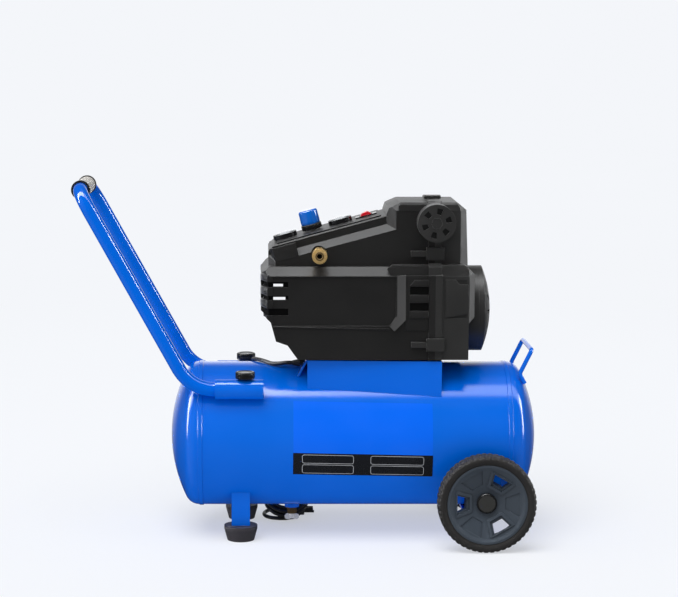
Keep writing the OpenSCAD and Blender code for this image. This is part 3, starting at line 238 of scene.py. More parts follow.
def finish(name, colour, rough, metal=0.0, blotch=0.08, spread=0.06, grain=900.0, bump=0.06,
           depth=0.0004, stretch=None, edge=0.0008, specular=0.5, coat=0.0, speckle=0.0, sheen=0.0):
    """A finish with blotches, uneven gloss, a fine grain and softly rounded edges."""
    g = Graph(name)
    broad = g.noise(11.0, 3.0)
    fine = g.noise(grain, 3.0, stretch)
    tone = g.blend(g.span(broad, 0.0, 1.0), shade(colour, 1 - blotch), shade(colour, 1 + blotch))
    if speckle:
        tone = g.blend(g.span(fine, 0.0, 1.0, 0.35, 0.65), tone, shade(colour, 1 + speckle))
    mixed = g.maths("ADD", broad, fine)
    g.set(Base_Color=tone, Metallic=metal, Specular_IOR_Level=specular)
    g.set(Roughness=g.span(mixed, max(0.02, rough - spread), rough + spread, 0.75, 1.25))
    rounded = g.node("ShaderNodeBevel", {"Radius": edge}, samples=4).outputs[0]
    g.set(Normal=g.node("ShaderNodeBump", {
        "Strength": bump, "Distance": depth, "Height": fine, "Normal": rounded}).outputs[0])
    if coat:
        g.set(Coat_Weight=coat, Coat_Roughness=0.06)
    if sheen:
        g.set(Sheen_Weight=sheen, Sheen_Roughness=0.3)
    return g.material


PAINT = dict(colour=(0.0, 0.122, 0.66), blotch=0.025, grain=420, specular=0.46)
HOUSING = dict(rough=0.42, blotch=0.1, grain=1700, bump=0.1, edge=0.0012)
recipes = {
    "blue_paint": dict(PAINT, rough=0.16, bump=0.006, spread=0.03),
    "tube_paint": dict(PAINT, rough=0.07, bump=0.003, spread=0.02, edge=0.0),
    "black_housing": dict(HOUSING, colour=(0.014, 0.0136, 0.0134), specular=0.33),
    # The fan half and the pieces on it take a black about 1.7 times lighter than the motor half's
    "fan_housing": dict(HOUSING, colour=(0.024, 0.0236, 0.023)),
    # A copy of the housing's black, about 3.5 times lighter: painted light on the sloping strips' faces
    "painted_light_housing": dict(HOUSING, colour=(0.05, 0.0495, 0.049), specular=0.4),
    "black_plastic": dict(colour=(0.009, 0.009, 0.0095), rough=0.22, grain=1400, bump=0.03),
    # The rims' black is a little lighter than black_plastic and has a strong sheen: a painted reflection that
    # brightens the rims at grazing angles
    "rim_sheen_plastic": dict(colour=(0.014, 0.014, 0.0145), rough=0.42, grain=1400, bump=0.06, edge=0.0012,
                         sheen=0.9),
    "rim_plastic": dict(colour=(0.040, 0.051, 0.066), rough=0.42, grain=1500, bump=0.08, edge=0.0012),
    "hub_plastic": dict(colour=(0.033, 0.033, 0.031), rough=0.34, grain=1300, bump=0.06, edge=0.0016),
    "red_plastic": dict(colour=(0.74, 0.006, 0.02), rough=0.3, grain=1300, bump=0.04, coat=0.2),
    "blue_plastic": dict(colour=(0.001, 0.13, 0.60), rough=0.12, grain=1100, bump=0.015, coat=0.6),
    "black_rubber": dict(colour=(0.013, 0.013, 0.013), rough=0.5, grain=1300, bump=0.1, specular=0.4),
    "grey_rubber": dict(colour=(0.036, 0.033, 0.040), rough=0.6, grain=900, bump=0.16, specular=0.4),
    "tyre_rubber": dict(colour=(0.0185, 0.0175, 0.017), rough=0.66, grain=1100, bump=0.14, blotch=0.12,
                        specular=0.25, speckle=0.12),
    "cord_jacket": dict(colour=(0.012, 0.012, 0.013), rough=0.42, grain=1200, bump=0.08),
    "grip_foam": dict(colour=(0.66, 0.635, 0.60), rough=0.85, grain=900, bump=0.6, depth=0.0012,
                      speckle=-0.25, blotch=0.05, specular=0.2),
    "filter_felt": dict(colour=(0.012, 0.012, 0.012), rough=0.9, grain=600, bump=0.6, depth=0.001),
    "brass": dict(colour=(0.63, 0.43, 0.17), rough=0.3, metal=0.5, grain=700, stretch=(1, 6, 1)),
    "dull_brass": dict(colour=(0.16, 0.10, 0.045), rough=0.36, metal=0.6, grain=700, bump=0.08, blotch=0.2),
    "copper": dict(colour=(0.62, 0.30, 0.17), rough=0.36, metal=1.0, grain=500, bump=0.08, blotch=0.16),
    "steel": dict(colour=(0.60, 0.60, 0.61), rough=0.3, metal=1.0, grain=600, stretch=(1, 1, 5)),
    # The drain wing's steel is pale and barely metallic: its light colour is a painted reflection that keeps
    # the wing white in shade
    "bright_steel": dict(colour=(0.82, 0.82, 0.83), rough=0.26, metal=0.3, grain=600, bump=0.05,
                         edge=0.0012),
    "cast_aluminium": dict(colour=(0.55, 0.55, 0.56), rough=0.5, metal=1.0, grain=800, bump=0.3),
    # vent_dark is near-black: painted shade for the dark pieces set in the slots, gaps and the coupler's bore
    "vent_dark": dict(colour=(0.003, 0.003, 0.003), rough=0.85, grain=900, bump=0.1, specular=0.1),
    "decal_blue": dict(colour=(0.0, 0.124, 0.80), rough=0.16, blotch=0.02, grain=700, bump=0.008,
                       specular=0.4),
    "decal_black": dict(colour=(0.010, 0.011, 0.014), rough=0.26, grain=700, bump=0.01),
    "decal_line": dict(colour=(0.42, 0.43, 0.45), rough=0.4, grain=700, bump=0.01),
    "dial_white": dict(colour=(0.72, 0.72, 0.70), rough=0.5, grain=900, bump=0.02),
}
finishes = {name: finish(name, **recipe) for name, recipe in recipes.items()}
lens = Graph("clear_lens")
lens.set(Base_Color=(0.93, 0.95, 0.96, 1.0), Transmission_Weight=1.0, IOR=1.45)
lens.set(Roughness=lens.span(lens.noise(60.0), 0.02, 0.07))
finishes["clear_lens"] = lens.material

# Nodes whose finish isn't the one of their slot in the record
node_finishes = {
    "shroud_fan_half": "fan_housing", "fan_cover": "fan_housing", "filter_cap": "fan_housing",
    "seam_clips": "fan_housing", "handle_tube": "tube_paint", "hub_caps": "hub_plastic",
    "drain_valve": "dull_brass", "drain_wing": "bright_steel",
}

for node in nodes.values():
    for material_slot in node.material_slots:
        key = node_finishes.get(node.name, material_slot.material.name.split(".")[0])
        material_slot.material = finishes[key]


# Cord: its route is the drawing's, made smooth

CORD_D = 7.0
COIL_X, COIL_R, COIL_PITCH, COIL_TURNS = -118.0, 41.0, 7.6, 6.25
COIL_LAYER = COIL_TURNS / 4
# The coil stands on the floor and leans back against the tank, with a small gap to each
COIL_LEAN, COIL_SEAT, COIL_LIFT = math.radians(40), 1.0, 0.4
COIL_UP = Vector((0, math.sin(COIL_LEAN), math.cos(COIL_LEAN)))
COIL_OVER = Vector((0, math.cos(COIL_LEAN), -math.sin(COIL_LEAN)))
COIL_Z = COIL_R * COIL_UP.z - 3 * COIL_PITCH * COIL_OVER.z + CORD_D / 2 + COIL_LIFT
COIL_Y = (TANK_R + CORD_D / 2 + COIL_SEAT - (TANK_Z - COIL_Z) * COIL_UP.y) / COIL_OVER.y


def ease(t):
    """A smooth step from 0 to 1."""
    t = min(1.0, max(0.0, t))
    return t * t * (3 - 2 * t)


def in_coil(x, over, up):
    """A point of the drawing from places across, through and up the leaning coil."""
    return Vector((COIL_X + x, COIL_Y, COIL_Z)) + over * COIL_OVER + up * COIL_UP


def coil_point(t):
    """The coil's centre line after t turns: four layers, wound in, out, in and out."""
    r = COIL_R - COIL_PITCH * abs(t - 2 * COIL_LAYER * math.floor(t / (2 * COIL_LAYER) + 0.5))
    over = COIL_PITCH * sum(ease(2 * (t - k * COIL_LAYER) + 0.5) for k in (1, 2, 3))
    a = -2 * math.pi * t
    return in_coil(r * math.cos(a), over, r * math.sin(a))


def smooth(points, cuts):
    """Points along a smooth curve through the given points."""
    ends = [2 * Vector(points[0]) - Vector(points[1])]
    ends += [Vector(p) for p in points]
    ends.append(2 * Vector(points[-1]) - Vector(points[-2]))
    out = []
    for i in range(1, len(ends) - 2):
        p, q, r, s = ends[i - 1:i + 3]
        for k in range(cuts):
            t = k / cuts
            out.append(0.5 * (2 * q + (r - p) * t + (2 * p - 5 * q + 4 * r - s) * t * t
                              + (3 * q - p - 3 * r + s) * t ** 3))
    out.append(ends[-2])
    return out


COIL_CUTS = int(COIL_TURNS * 24)
coil = [coil_point(COIL_TURNS * i / COIL_CUTS) for i in range(COIL_CUTS + 1)]
coil_end = coil[-1] + Vector((-CORD_D, 0, 0))
route = smooth([
    (-108, -40, 306), (-118, -40, 306), (-130, -36, 304), (-143, -27, 302.5), (-156, -13, 304.5),
    (-168, 5, 305), (-176, 26, 302.5), (-175, 48, 296), (-166, 68, 286), (-154, 86, 273),
    (-146, 103, 255.5), (-142, 116, 236), (-141, 126, 213), (-142, 131.5, 190), (-140, 134.5, 167),
    (-134, 133.5, 145), (-124, 128.5, 125), (-111, 120.5, 108), (-98, 110.5, 94), (-87, 99.5, 82),
    (-79.5, 88, 74), in_coil(COIL_R, 0, CORD_D + 8), in_coil(COIL_R, 0, CORD_D)], 4)
tail = smooth([coil_end + Vector(step) for step in (
    (0, 0, 0), (-4, 0, 0), (-18, 4, 0.2), (-28, 14, 0.8), (-32, 28, 2),
    (-28, 42, 3.4), (-18, 52, 4.6), (-4, 56, 5.1), (4, 56, 5.1))], 4)
cord_line = [at(*p) for p in route + coil + tail]
mains_cord = add("mains_cord", tube("mains_cord", cord_line, CORD_D), "base",
                 finishes["cord_jacket"], ("power_cord", "cord_coil"))

# The tie round the coil's turns, beside their lowest point
TIE_TURN, TIE_HALF_W, TIE_T = math.radians(20), 2.4, 0.7
TIE_REACH_OVER, TIE_REACH_OUT, TIE_SQUARE, TIE_STEPS = 15.2, 9.2, 0.35, 40
tie_over, tie_r = 1.5 * COIL_PITCH, COIL_R - 0.8 * COIL_PITCH
bm = bmesh.new()
loops = []
for half, thick in ((-TIE_HALF_W, 0.0), (-TIE_HALF_W, TIE_T), (TIE_HALF_W, TIE_T), (TIE_HALF_W, 0.0)):
    loop = []
    for i in range(TIE_STEPS):
        a = 2 * math.pi * i / TIE_STEPS
        c, s = math.cos(a), math.sin(a)
        over = tie_over + math.copysign(abs(c) ** TIE_SQUARE, c) * (TIE_REACH_OVER + thick)
        out = tie_r + math.copysign(abs(s) ** TIE_SQUARE, s) * (TIE_REACH_OUT + thick)
        x = half * math.cos(TIE_TURN) + out * math.sin(TIE_TURN)
        up = half * math.sin(TIE_TURN) - out * math.cos(TIE_TURN)
        loop.append(bm.verts.new(at(*in_coil(x, over, up))))
    loops.append(loop)
for k in range(4):
    a, b = loops[k], loops[(k + 1) % 4]
    for i in range(TIE_STEPS):
        j = (i + 1) % TIE_STEPS
        bm.faces.new((a[i], a[j], b[j], b[i]))
cord_tie = add("cord_tie", from_bmesh("cord_tie", bm), "base", finishes["grey_rubber"])


# Foam grip with rounded ends

GRIP_BORE, GRIP_EDGE, GRIP_ROUND, GRIP_SLACK, GRIP_WAVE = 12.7, 2.0, 1.9, 0.1, 0.25
GRIP_SKIN, GRIP_END, GRIP_ROWS = 14, 4, 30
grip_low, grip_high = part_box("handle_grip")
grip_middle = (grip_low + grip_high) / 2
grip_half = (grip_high.y - grip_low.y) * 500
grip_r = (grip_high.z - grip_low.z) * 500
profile = [(GRIP_BORE, -grip_half), (grip_r - GRIP_EDGE, -grip_half)]
profile += [(grip_r - GRIP_EDGE + GRIP_ROUND * math.sin(a),
             -grip_half + GRIP_ROUND - GRIP_ROUND * math.cos(a))
            for a in (math.pi * k / 12 for k in range(1, 7))]
end_profile = list(profile)
profile += [(grip_r - GRIP_SLACK - GRIP_WAVE * math.sin(k * 1.7),
             -grip_half + GRIP_END + k * (2 * grip_half - 2 * GRIP_END) / GRIP_ROWS)
            for k in range(1, GRIP_ROWS)]
profile += [(r, -h) for r, h in reversed(end_profile)]


def uneven(i, k, r, h):
    """The foam's outside is a little uneven, and its bore is round."""
    return (r - 0.12 * (1 + math.sin(i * 2.39 + k * 1.13)) if r > GRIP_SKIN else r), h


bm = lathe(profile, 72, tipped(grip_middle, -90), wave=uneven)
add("foam_grip", from_bmesh("foam_grip", bm, angle=60), "handle", finishes["grip_foam"],
    ("handle_grip",))


# Plain label films on the tank

LABEL_START, LABEL_END, LABEL_DROP = -107.0, 133.0, 2.2


def label_drop(x):
    """The label was put on a little askew: it drops towards the wheels, in degrees round the tank."""
    return LABEL_DROP * (x - LABEL_START) / (LABEL_END - LABEL_START)


def on_tank(x, degrees, lift):
    """A point just off the tank's near side, at an angle above its middle."""
    a = math.radians(degrees - label_drop(x))
    r = TANK_R + lift
    return at(x, -r * math.cos(a), TANK_Z + r * math.sin(a))


def tank_film(name, x0, x1, low, high, material, lift):
    """A film on the near side of the tank, from one angle above the middle to another."""
    bm = bmesh.new()
    across, around = 24, 16
    grid = []
    for i in range(across + 1):
        x = x0 + (x1 - x0) * i / across
        grid.append([bm.verts.new(on_tank(x, low + (high - low) * j / around, lift))
                     for j in range(around + 1)])
    for i in range(across):
        for j in range(around):
            bm.faces.new((grid[i][j], grid[i + 1][j], grid[i + 1][j + 1], grid[i][j + 1]))
    add(name, from_bmesh(name, bm), "base", material)


def tank_frame(name, x0, x1, low, high):
    """A thin rounded outline on the near side of the tank."""
    width, bend, lift = 0.8, 4.0, 0.35
    per_mm = math.degrees(1 / TANK_R)
    bm = bmesh.new()
    loops = []
    for inset in (0.0, width):
        loop = []
        for cx, cy, start in ((x1, high, 0), (x0, high, 90), (x0, low, 180), (x1, low, 270)):
            sx = -1 if cx == x1 else 1
            sy = -1 if cy == high else 1
            for k in range(7):
                a = math.radians(start + 15 * k)
                x = cx + sx * bend + (bend - inset) * math.cos(a)
                up = cy + (sy * bend + (bend - inset) * math.sin(a)) * per_mm
                loop.append(bm.verts.new(on_tank(x, up, lift)))
        loops.append(loop)
    count = len(loops[0])
    for i in range(count):
        j = (i + 1) % count
        bm.faces.new((loops[0][i], loops[0][j], loops[1][j], loops[1][i]))
    add(name, from_bmesh(name, bm), "base", finishes["decal_line"])


tank_film("label_film", LABEL_START, LABEL_END, -5.5, 36, finishes["decal_blue"], 0.15)
tank_film("label_band", LABEL_START - 0.5, LABEL_END + 0.5, -23.6, -5.2, finishes["decal_black"], 0.25)
for column, (x0, x1) in enumerate(((-92, -3), (26, 118))):
    for row, (low, high) in enumerate(((-13.6, -6.4), (-22.4, -14.6))):
        tank_frame(f"label_outline_{column}{row}", x0, x1, low, high)


# Tyres with staggered tread blocks

AXLE_X, AXLE_Z, WHEEL_Y = 222.0, 84.0, 168.0
TREAD_BLOCKS, TREAD_STEPS, GROOVE_STEPS = 50, 8, 3
GROOVE_R, GROOVE_H, SHOULDER_H = 80.5, 5, 11
GROOVE_DEPTH, SHOULDER_DEPTH = 0.7, 1.2
half_tyre = [(68.5, -17.0), (72.0, -19.0), (76.0, -20.0), (79.4, -19.5), (81.6, -18.0), (83.2, -15.6),
             (84.0, -12.0), (84.0, -6.0), (84.0, -1.4), (82.2, -1.0)]
tyre_profile = half_tyre + [(r, -h) for r, h in reversed(half_tyre)]


def tread(i, k, r, h):
    """Cuts grooves across the tread, deeper on its shoulders and half a block apart on its two sides."""
    turn = i if h < 0 else i + TREAD_STEPS // 2
    if turn % TREAD_STEPS < GROOVE_STEPS and r > GROOVE_R and abs(h) > GROOVE_H:
        r -= SHOULDER_DEPTH if abs(h) > SHOULDER_H else GROOVE_DEPTH
    return r, h


for name, side in (("near", -1), ("far", 1)):
    place = tipped(at(AXLE_X, side * WHEEL_Y, AXLE_Z), -90)
    bm = lathe(tyre_profile, TREAD_BLOCKS * TREAD_STEPS, place, wave=tread)
    add(f"tread_{name}", from_bmesh(f"tread_{name}", bm), f"wheel_{name}",
        finishes["tyre_rubber"], (f"tyre_{name}",))

# Rings of painted shade round the hub caps: dark rings stand for the shadow gap at each cap's edge
hub_shade_profile = [(14.4, 174.0), (14.8, 174.9), (15.6, 174.9), (17.4, 173.2), (17.4, 170.6), (16.6, 170.6)]
bm = bmesh.new()
for side in (-1, 1):
    lathe(hub_shade_profile, 72, tipped(at(AXLE_X, 0, AXLE_Z), -90 * side), bm=bm)
add("hub_shade_rings", from_bmesh("hub_shade_rings", bm), "base", finishes["black_plastic"])


# Lock knobs with ribbed sides and a shallow dish

RIB_CUT = 0.9


def ribs(every, limit):
    """Narrow cuts down a knob's side, where its radius is over a limit."""
    return lambda i, k, r, h: (r - (RIB_CUT if i % every < 2 and r > limit else 0), h)


for name in ("near", "far"):
    low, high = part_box(f"lock_knob_{name}")
    middle = (low + high) / 2
    place = Matrix.Translation(Vector((middle.x, middle.y, high.z)) * 1000)
    stud = (high.z - low.z) * 1000
    knob = [(0, -stud), (4.9, -stud), (4.9, -14), (10.4, -14), (14.6, -12.8), (16.5, -11.6), (16.9, -10.4),
            (16.9, -2.4), (16.4, -1.1), (15.2, -0.2), (13.4, 0), (12.4, -0.3), (11.6, -1), (0, -1.3)]
    bm = lathe(knob, 144, place, closed=False, wave=ribs(6, 14))
    add(f"knob_{name}", from_bmesh(f"knob_{name}", bm), f"lock_knob_{name}",
        finishes["black_plastic"], (f"lock_knob_{name}",))


# Lift handle, one bent rod

LIFT_FOOT, LIFT_KNEE, LIFT_TOP = (297.06, 272.897), (288.06, 289.897), (308.545, 331.897)
LIFT_Y, LIFT_BEND, LIFT_D = 63.0, 7.0, 7.6


def rounded(points, radius, cuts=8):
    """The path through the points, with its corners rounded."""
    out = [Vector(points[0])]
    for a, b, c in zip(points, points[1:], points[2:]):
        a, b, c = Vector(a), Vector(b), Vector(c)
        before, after = (a - b).normalized(), (c - b).normalized()
        half = before.angle(after) / 2
        reach = radius / math.tan(half)
        middle = b + (before + after).normalized() * (radius / math.sin(half))
        start, end = b + before * reach - middle, b + after * reach - middle
        for k in range(cuts + 1):
            out.append(middle + radius * start.slerp(end, k / cuts).normalized())
    out.append(Vector(points[-1]))
    return out


lift_path = [(x, -LIFT_Y, z) for x, z in (LIFT_FOOT, LIFT_KNEE, LIFT_TOP)]
lift_path += [(x, -y, z) for x, y, z in reversed(lift_path)]
lift_line = [at(*p) for p in rounded(lift_path, LIFT_BEND)]
add("lift_rod", tube("lift_rod", lift_line, LIFT_D), "base", finishes["blue_paint"],
    ("lift_handle",))


# Controls on the sloping console

CONSOLE_X, CONSOLE_Z = -140, DECK_Z + 198
GAUGE_TOP, DIAL, DIAL_R, DIAL_HOLE = 10.0, 4.0, 18.3, 2.0
MARKS, MARK_START, MARK_STEP, MARK_END = 31, 225, 9, 16.8
GAUGE_U, REGULATOR_U, REGULATOR_FOOT = (22.0, 122.0), 71.0, 4.4
HOLLOW_DEPTH, HOLLOW_R, HOLLOW_H = 0.045, 13, 11


def on_console(u):
    """Local Z stands out from the console's top at a distance up its slope."""
    corner = Matrix.Translation(at(CONSOLE_X, 0, CONSOLE_Z) * 1000) @ Matrix.Rotation(-SLOPE, 4, "Y")
    return corner @ Matrix.Translation((u, 0, 0))


def hollows(i, k, r, h):
    """Six shallow hollows round the regulator's cap, for fingers."""
    depth = HOLLOW_DEPTH * max(0.0, math.cos(i * math.pi / 8)) ** 2
    return (r * (1 - depth) if r > HOLLOW_R and h > HOLLOW_H else r), h


place = on_console(REGULATOR_U) @ Matrix.Translation((0, 0, REGULATOR_FOOT))
skirt = [(7.3, 0), (17.4, 0), (18, 0.7), (18, 8.4), (17.2, 9.4), (7.3, 9.4)]
bm = lathe(skirt, 144, place, wave=ribs(4, 17))
add("regulator_skirt", from_bmesh("regulator_skirt", bm), "regulator_knob",
    finishes["black_plastic"])
cap = [(7.3, 9.5), (16.2, 9.5), (17.0, 10.4), (17.5, 15), (17.2, 26)]
cap += [(13.2 + 4.0 * math.cos(a), 30.4 + 4.2 * math.sin(a)) for a in (math.pi * k / 16 for k in range(9))]
cap += [(8, 34.9), (0, 35), (0, 20), (7.3, 20)]
bm = lathe(cap, 96, place, wave=hollows)
add("regulator_cap", from_bmesh("regulator_cap", bm, angle=50), "regulator_knob",
    finishes["blue_plastic"], ("regulator_knob",))

# Dials with plain marks under domed lenses
faces, marks, domes = bmesh.new(), bmesh.new(), bmesh.new()
dial = [(DIAL_HOLE, DIAL + 0.05), (DIAL_R, DIAL + 0.05), (DIAL_R, DIAL + 0.3), (DIAL_HOLE, DIAL + 0.3)]
dome = [(0, GAUGE_TOP - 2.4), (DIAL_R, GAUGE_TOP - 2.4)]
dome += [(DIAL_R * math.cos(a), GAUGE_TOP - 1.2 + 4.2 * math.sin(a))
         for a in (math.pi * k / 20 for k in range(11))]
for u in GAUGE_U:
    place = on_console(u)
    lathe(dial, 64, place, bm=faces)
    lathe(dome, 64, place, bm=domes)
    for k in range(MARKS):
        spin = place @ Matrix.Rotation(math.radians(MARK_START - MARK_STEP * k), 4, "Z")
        inner, half = (12.6, 0.35) if k % 5 == 0 else (14.6, 0.2)
        mark = [(inner, -half), (MARK_END, -half), (MARK_END, half), (inner, half)]
        prism(marks, mark, DIAL + 0.28, DIAL + 0.42, spin)
add("dial_faces", from_bmesh("dial_faces", faces), "base", finishes["dial_white"])
add("dial_marks", from_bmesh("dial_marks", marks, smooth=False), "base",
    finishes["decal_black"])
add("gauge_domes", from_bmesh("gauge_domes", domes), "base", finishes["clear_lens"],
    ("gauge_lenses",))


# Relief on the shroud

def shroud_piece(name, outlines, low, high, material="black_housing", width=0.7):
    """Outlines in X and Z, drawn out on both sides between two distances from the middle, with soft edges."""
    bm = bmesh.new()
    for side in (-1, 1):
        for outline in outlines:
            prism(bm, outline, low, high, side_plane(side))
    if width:
        soften(bm, width)
    add(name, from_bmesh(name, bm), "base", finishes[material])


def shroud_loft(name, rows, material="black_housing"):
    """A lofted piece on both sides of the shroud, from rows of (x, distance from the middle, z)."""
    bm = bmesh.new()
    for side in (-1, 1):
        loft(bm, [[(x, side * y, z) for x, y, z in row] for row in rows])
    add(name, from_bmesh(name, bm, angle=15), "base", finishes[material])


# A sloping strip beside the bare name panel, in a lighter black: painted light on its face
strip = [((69.8, 466.0), (84.6, 467.5)), ((70.2, 396.8), (85.0, 389.9)), ((58.4, 378.4), (66.2, 370.4))]
shroud_loft("panel_strips", [
    [(x0, 98.6, z0), (x0, 99.6, z0), (x1, 104.6, z1), (x1 + 1.2, 104.6, z1), (x1 + 1.2, 98.6, z1)]
    for (x0, z0), (x1, z1) in strip], "painted_light_housing")


def on_slope(x, out, down):
    """A point of the console: its X at the top, its distance from the middle, its depth under the top."""
    u = (x - CONSOLE_X) / math.cos(SLOPE)
    return x + down * math.sin(SLOPE), out, CONSOLE_Z + u * math.sin(SLOPE) - down * math.cos(SLOPE)


# Cheeks on the console's sides, at the handle's end
shroud_loft("console_cheeks", [
    [on_slope(x, low, 28), on_slope(x, high, 4), on_slope(x, 63.4, 4), on_slope(x, 63.4, 28)]
    for x, low, high in ((-149.4, 67.0, 65.6), (-144.5, 78.2, 75.8), (-104.5, 78.2, 75.8))])

# The tower stands on steep shoulders and has a steep brow, one half before the seam and one behind it
SEAM_START, SEAM_END = 125.5, 147.0
shoulder = [(99.8, 464), (98.4, 478), (96.2, 484), (77, 484), (77, 464)]
brow = [(78.4, 575), (76.8, 586.4), (63, 589.3), (63, 575)]


def section(x, outline):
    """A row of a loft from an outline of (distance from the middle, z)."""
    return [(x, y, z) for y, z in outline]


shroud_loft("shoulder_motor", [
    [(61, 99.8, 464), (53, 98.4, 478), (63, 96.2, 484), (63, 77, 484), (61, 77, 464)],
    section(SEAM_START, shoulder)])
shroud_loft("brow_motor", [
    [(73, 78.4, 575), (74, 76.8, 584), (75, 63, 586.5), (74, 63, 575)],
    section(78, brow), section(SEAM_START, brow)])
shroud_loft("shoulder_fan", [
    section(SEAM_END, shoulder), section(186, shoulder),
    [(194.6, 99.8, 464), (194.6, 98.4, 476), (192, 96.2, 481), (192, 77, 481), (194.6, 77, 464)]],
    "fan_housing")
shroud_loft("brow_fan", [
    section(SEAM_END, brow), section(175.5, brow),
    [(180.8, 78.4, 574), (180, 76.6, 580), (180, 63, 583.4), (180, 63, 574)]], "fan_housing")
rib = [(102.2, 464), (101, 480), (97, 485.6), (79, 485.6), (79, 464)]
shroud_loft("shoulder_ribs", [section(SEAM_START - 0.4, rib), section(SEAM_END + 0.4, rib)], "fan_housing")

# Rounded rims on the slats at the handle's end
RIM_A, RIM_B, RIM_BULGE = Vector((-163.2, 61.0)), Vector((-151.0, 100.2)), 5.4
rim_out = Vector((RIM_A.y - RIM_B.y, RIM_B.x - RIM_A.x)).normalized()
bm = bmesh.new()
for side in (-1, 1):
    for low, high in ((409.4, 423.6), (431.4, 445.6), (455.4, 468.0)):
        rows = []
        for k in range(9):
            rise = -1 + k / 4
            bulge = RIM_BULGE * math.sqrt(max(0.0, 1 - rise ** 4))
            z = (low + high) / 2 + rise * (high - low) / 2
            arc = [RIM_A.lerp(RIM_B, t / 10) + rim_out * bulge * (1 - (t / 5 - 1) ** 2) for t in range(11)]
            rows.append([(x, side * y, z) for x, y in arc] + [(-146, side * 96, z), (-156, side * 60, z)])
        loft(bm, rows)
# The rims take the sheen finish, a painted reflection along their rounded edges
add("slot_rims", from_bmesh("slot_rims", bm, angle=50), "base", finishes["rim_sheen_plastic"])

# A block of slats over a dark sheet of painted shade, a shallow plate and a ledge
shroud_piece("slat_blocks", [[(85.4, 371), (125.3, 371), (125.3, 466.5), (85.4, 466.5)]], 99, 101.8)
shroud_piece("slat_shadows", [[(93, 393), (125.2, 393), (125.2, 458.6), (101, 458.6), (93, 449)]],
             101.6, 101.95, "vent_dark", 0)
shroud_piece("slats", [
    [(92.6, 447.6), (125.2, 447.6), (125.2, 459.3), (100.8, 459.0), (92.6, 449.4)],
    [(92.6, 419.4), (125.2, 419.4), (125.2, 433.6), (92.6, 433.6)],
    [(92.6, 392.6), (125.2, 392.6), (125.2, 405.8), (92.6, 405.8)]], 101.4, 104.4, width=1.0)
shroud_piece("side_plates", [
    [(153.6, 393), (193.6, 400.4), (193.6, 451), (178.3, 451), (171.3, 459.2), (153.6, 459.2)]],
    99.4, 101.2, "fan_housing")
shroud_piece("panel_ledges", [[(-141, 375.6), (58, 371.6), (58, 374.6), (-141, 378.6)]], 99.2, 101.4)

# A dark sheet of painted shade behind the near slots at the handle's end leaves two narrow openings
SHADE_SHEET_X = (-150.0, -141.6, -125.0, -120.8, -113.0)
SHADE_SHEET_Z = (392.0, 423.9, 428.9, 445.3, 451.7, 460.0)
SHADE_SHEET_IN, SHADE_SHEET_OUT = 93.6, 95.4
open_cells = {(1, 1), (2, 1), (1, 3)}
bm = bmesh.new()
for i in range(len(SHADE_SHEET_X) - 1):
    for j in range(len(SHADE_SHEET_Z) - 1):
        if (i, j) not in open_cells:
            x0, x1, z0, z1 = SHADE_SHEET_X[i], SHADE_SHEET_X[i + 1], SHADE_SHEET_Z[j], SHADE_SHEET_Z[j + 1]
            prism(bm, [(x0, z0), (x1, z0), (x1, z1), (x0, z1)], SHADE_SHEET_IN, SHADE_SHEET_OUT, side_plane(-1))
end_plan = [(SHADE_SHEET_X[0], SHADE_SHEET_OUT), (SHADE_SHEET_X[0], SHADE_SHEET_IN), (-157.4, 66), (-158.4, 66.4)]
near_plan = Matrix(((1, 0, 0, SHIFT), (0, -1, 0, 0), (0, 0, 1, 0), (0, 0, 0, 1)))
prism(bm, end_plan, SHADE_SHEET_Z[0], SHADE_SHEET_Z[-1], near_plan)
add("slot_shade_sheet", from_bmesh("slot_shade_sheet", bm, smooth=False), "base", finishes["vent_dark"])


# The coupler's throat, lined with a near-black disc of painted shade, its ring, and the hexagon in the middle
# of the filter cap

COUPLER = at(-62.5943, 0, DECK_Z + 183.67)
FILTER = at(137, 0, DECK_Z + 240)
place = tipped(COUPLER, 90)
# A near-black disc and sleeve in the bore: painted shade where the bore is dark
bm = lathe([(0, 91.2), (4.72, 91.2), (4.72, 110), (3.6, 110), (3.2, 109), (3.0, 93), (0, 93)], 40, place)
add("coupler_bore_shade", from_bmesh("coupler_bore_shade", bm), "base", finishes["vent_dark"])
bm = lathe([(4.9, 114.6), (7.4, 114.6), (7.6, 115.2), (7.0, 115.5), (5.2, 115.1)], 48, place)
add("coupler_ring", from_bmesh("coupler_ring", bm), "base", finishes["dull_brass"])
bm = lathe([(9.6, 114.6), (10.8, 114.6), (10.6, 115.7), (9.9, 115.7)], 6, tipped(FILTER, 90))
add("cap_hexagon", from_bmesh("cap_hexagon", bm, smooth=False), "filter_cap",
    finishes["fan_housing"])


# Stage: a pale floor with a soft shadow, a pale backdrop, and a dome that only shows in reflections

PALE = (0.905, 0.922, 0.956)
FADE_FROM, FADE_TO = 0.9, 3.2
FLOOR_GLOW, FLOOR_SHARE = 0.53, 0.46
FLOOR_HALF, BACKDROP_R, STUDIO_R = 14, 13.5, 12.5
LAMP_POWER = 24.0


def stage_material(name, glow, share):
    """A pale tone that glows more and takes less light with the distance from the object."""
    g = Graph(name)
    away = g.node("ShaderNodeVectorMath", {0: g.where}, operation="LENGTH").outputs["Value"]
    tone = g.blend(g.span(g.noise(0.6), 0.0, 1.0), shade(PALE, 0.998), shade(PALE, 1.002))
    faded = g.span(away, 0.0, 1.0, FADE_FROM, FADE_TO)
    g.set(Emission_Color=tone, Emission_Strength=g.span(away, glow, 1.0, FADE_FROM, FADE_TO))
    g.set(Base_Color=g.blend(faded, shade(PALE, share), (0.0, 0.0, 0.0, 1.0)))
    g.set(Roughness=1.0, Specular_IOR_Level=0.0)
    g.material.cycles.emission_sampling = "NONE"
    return g.material


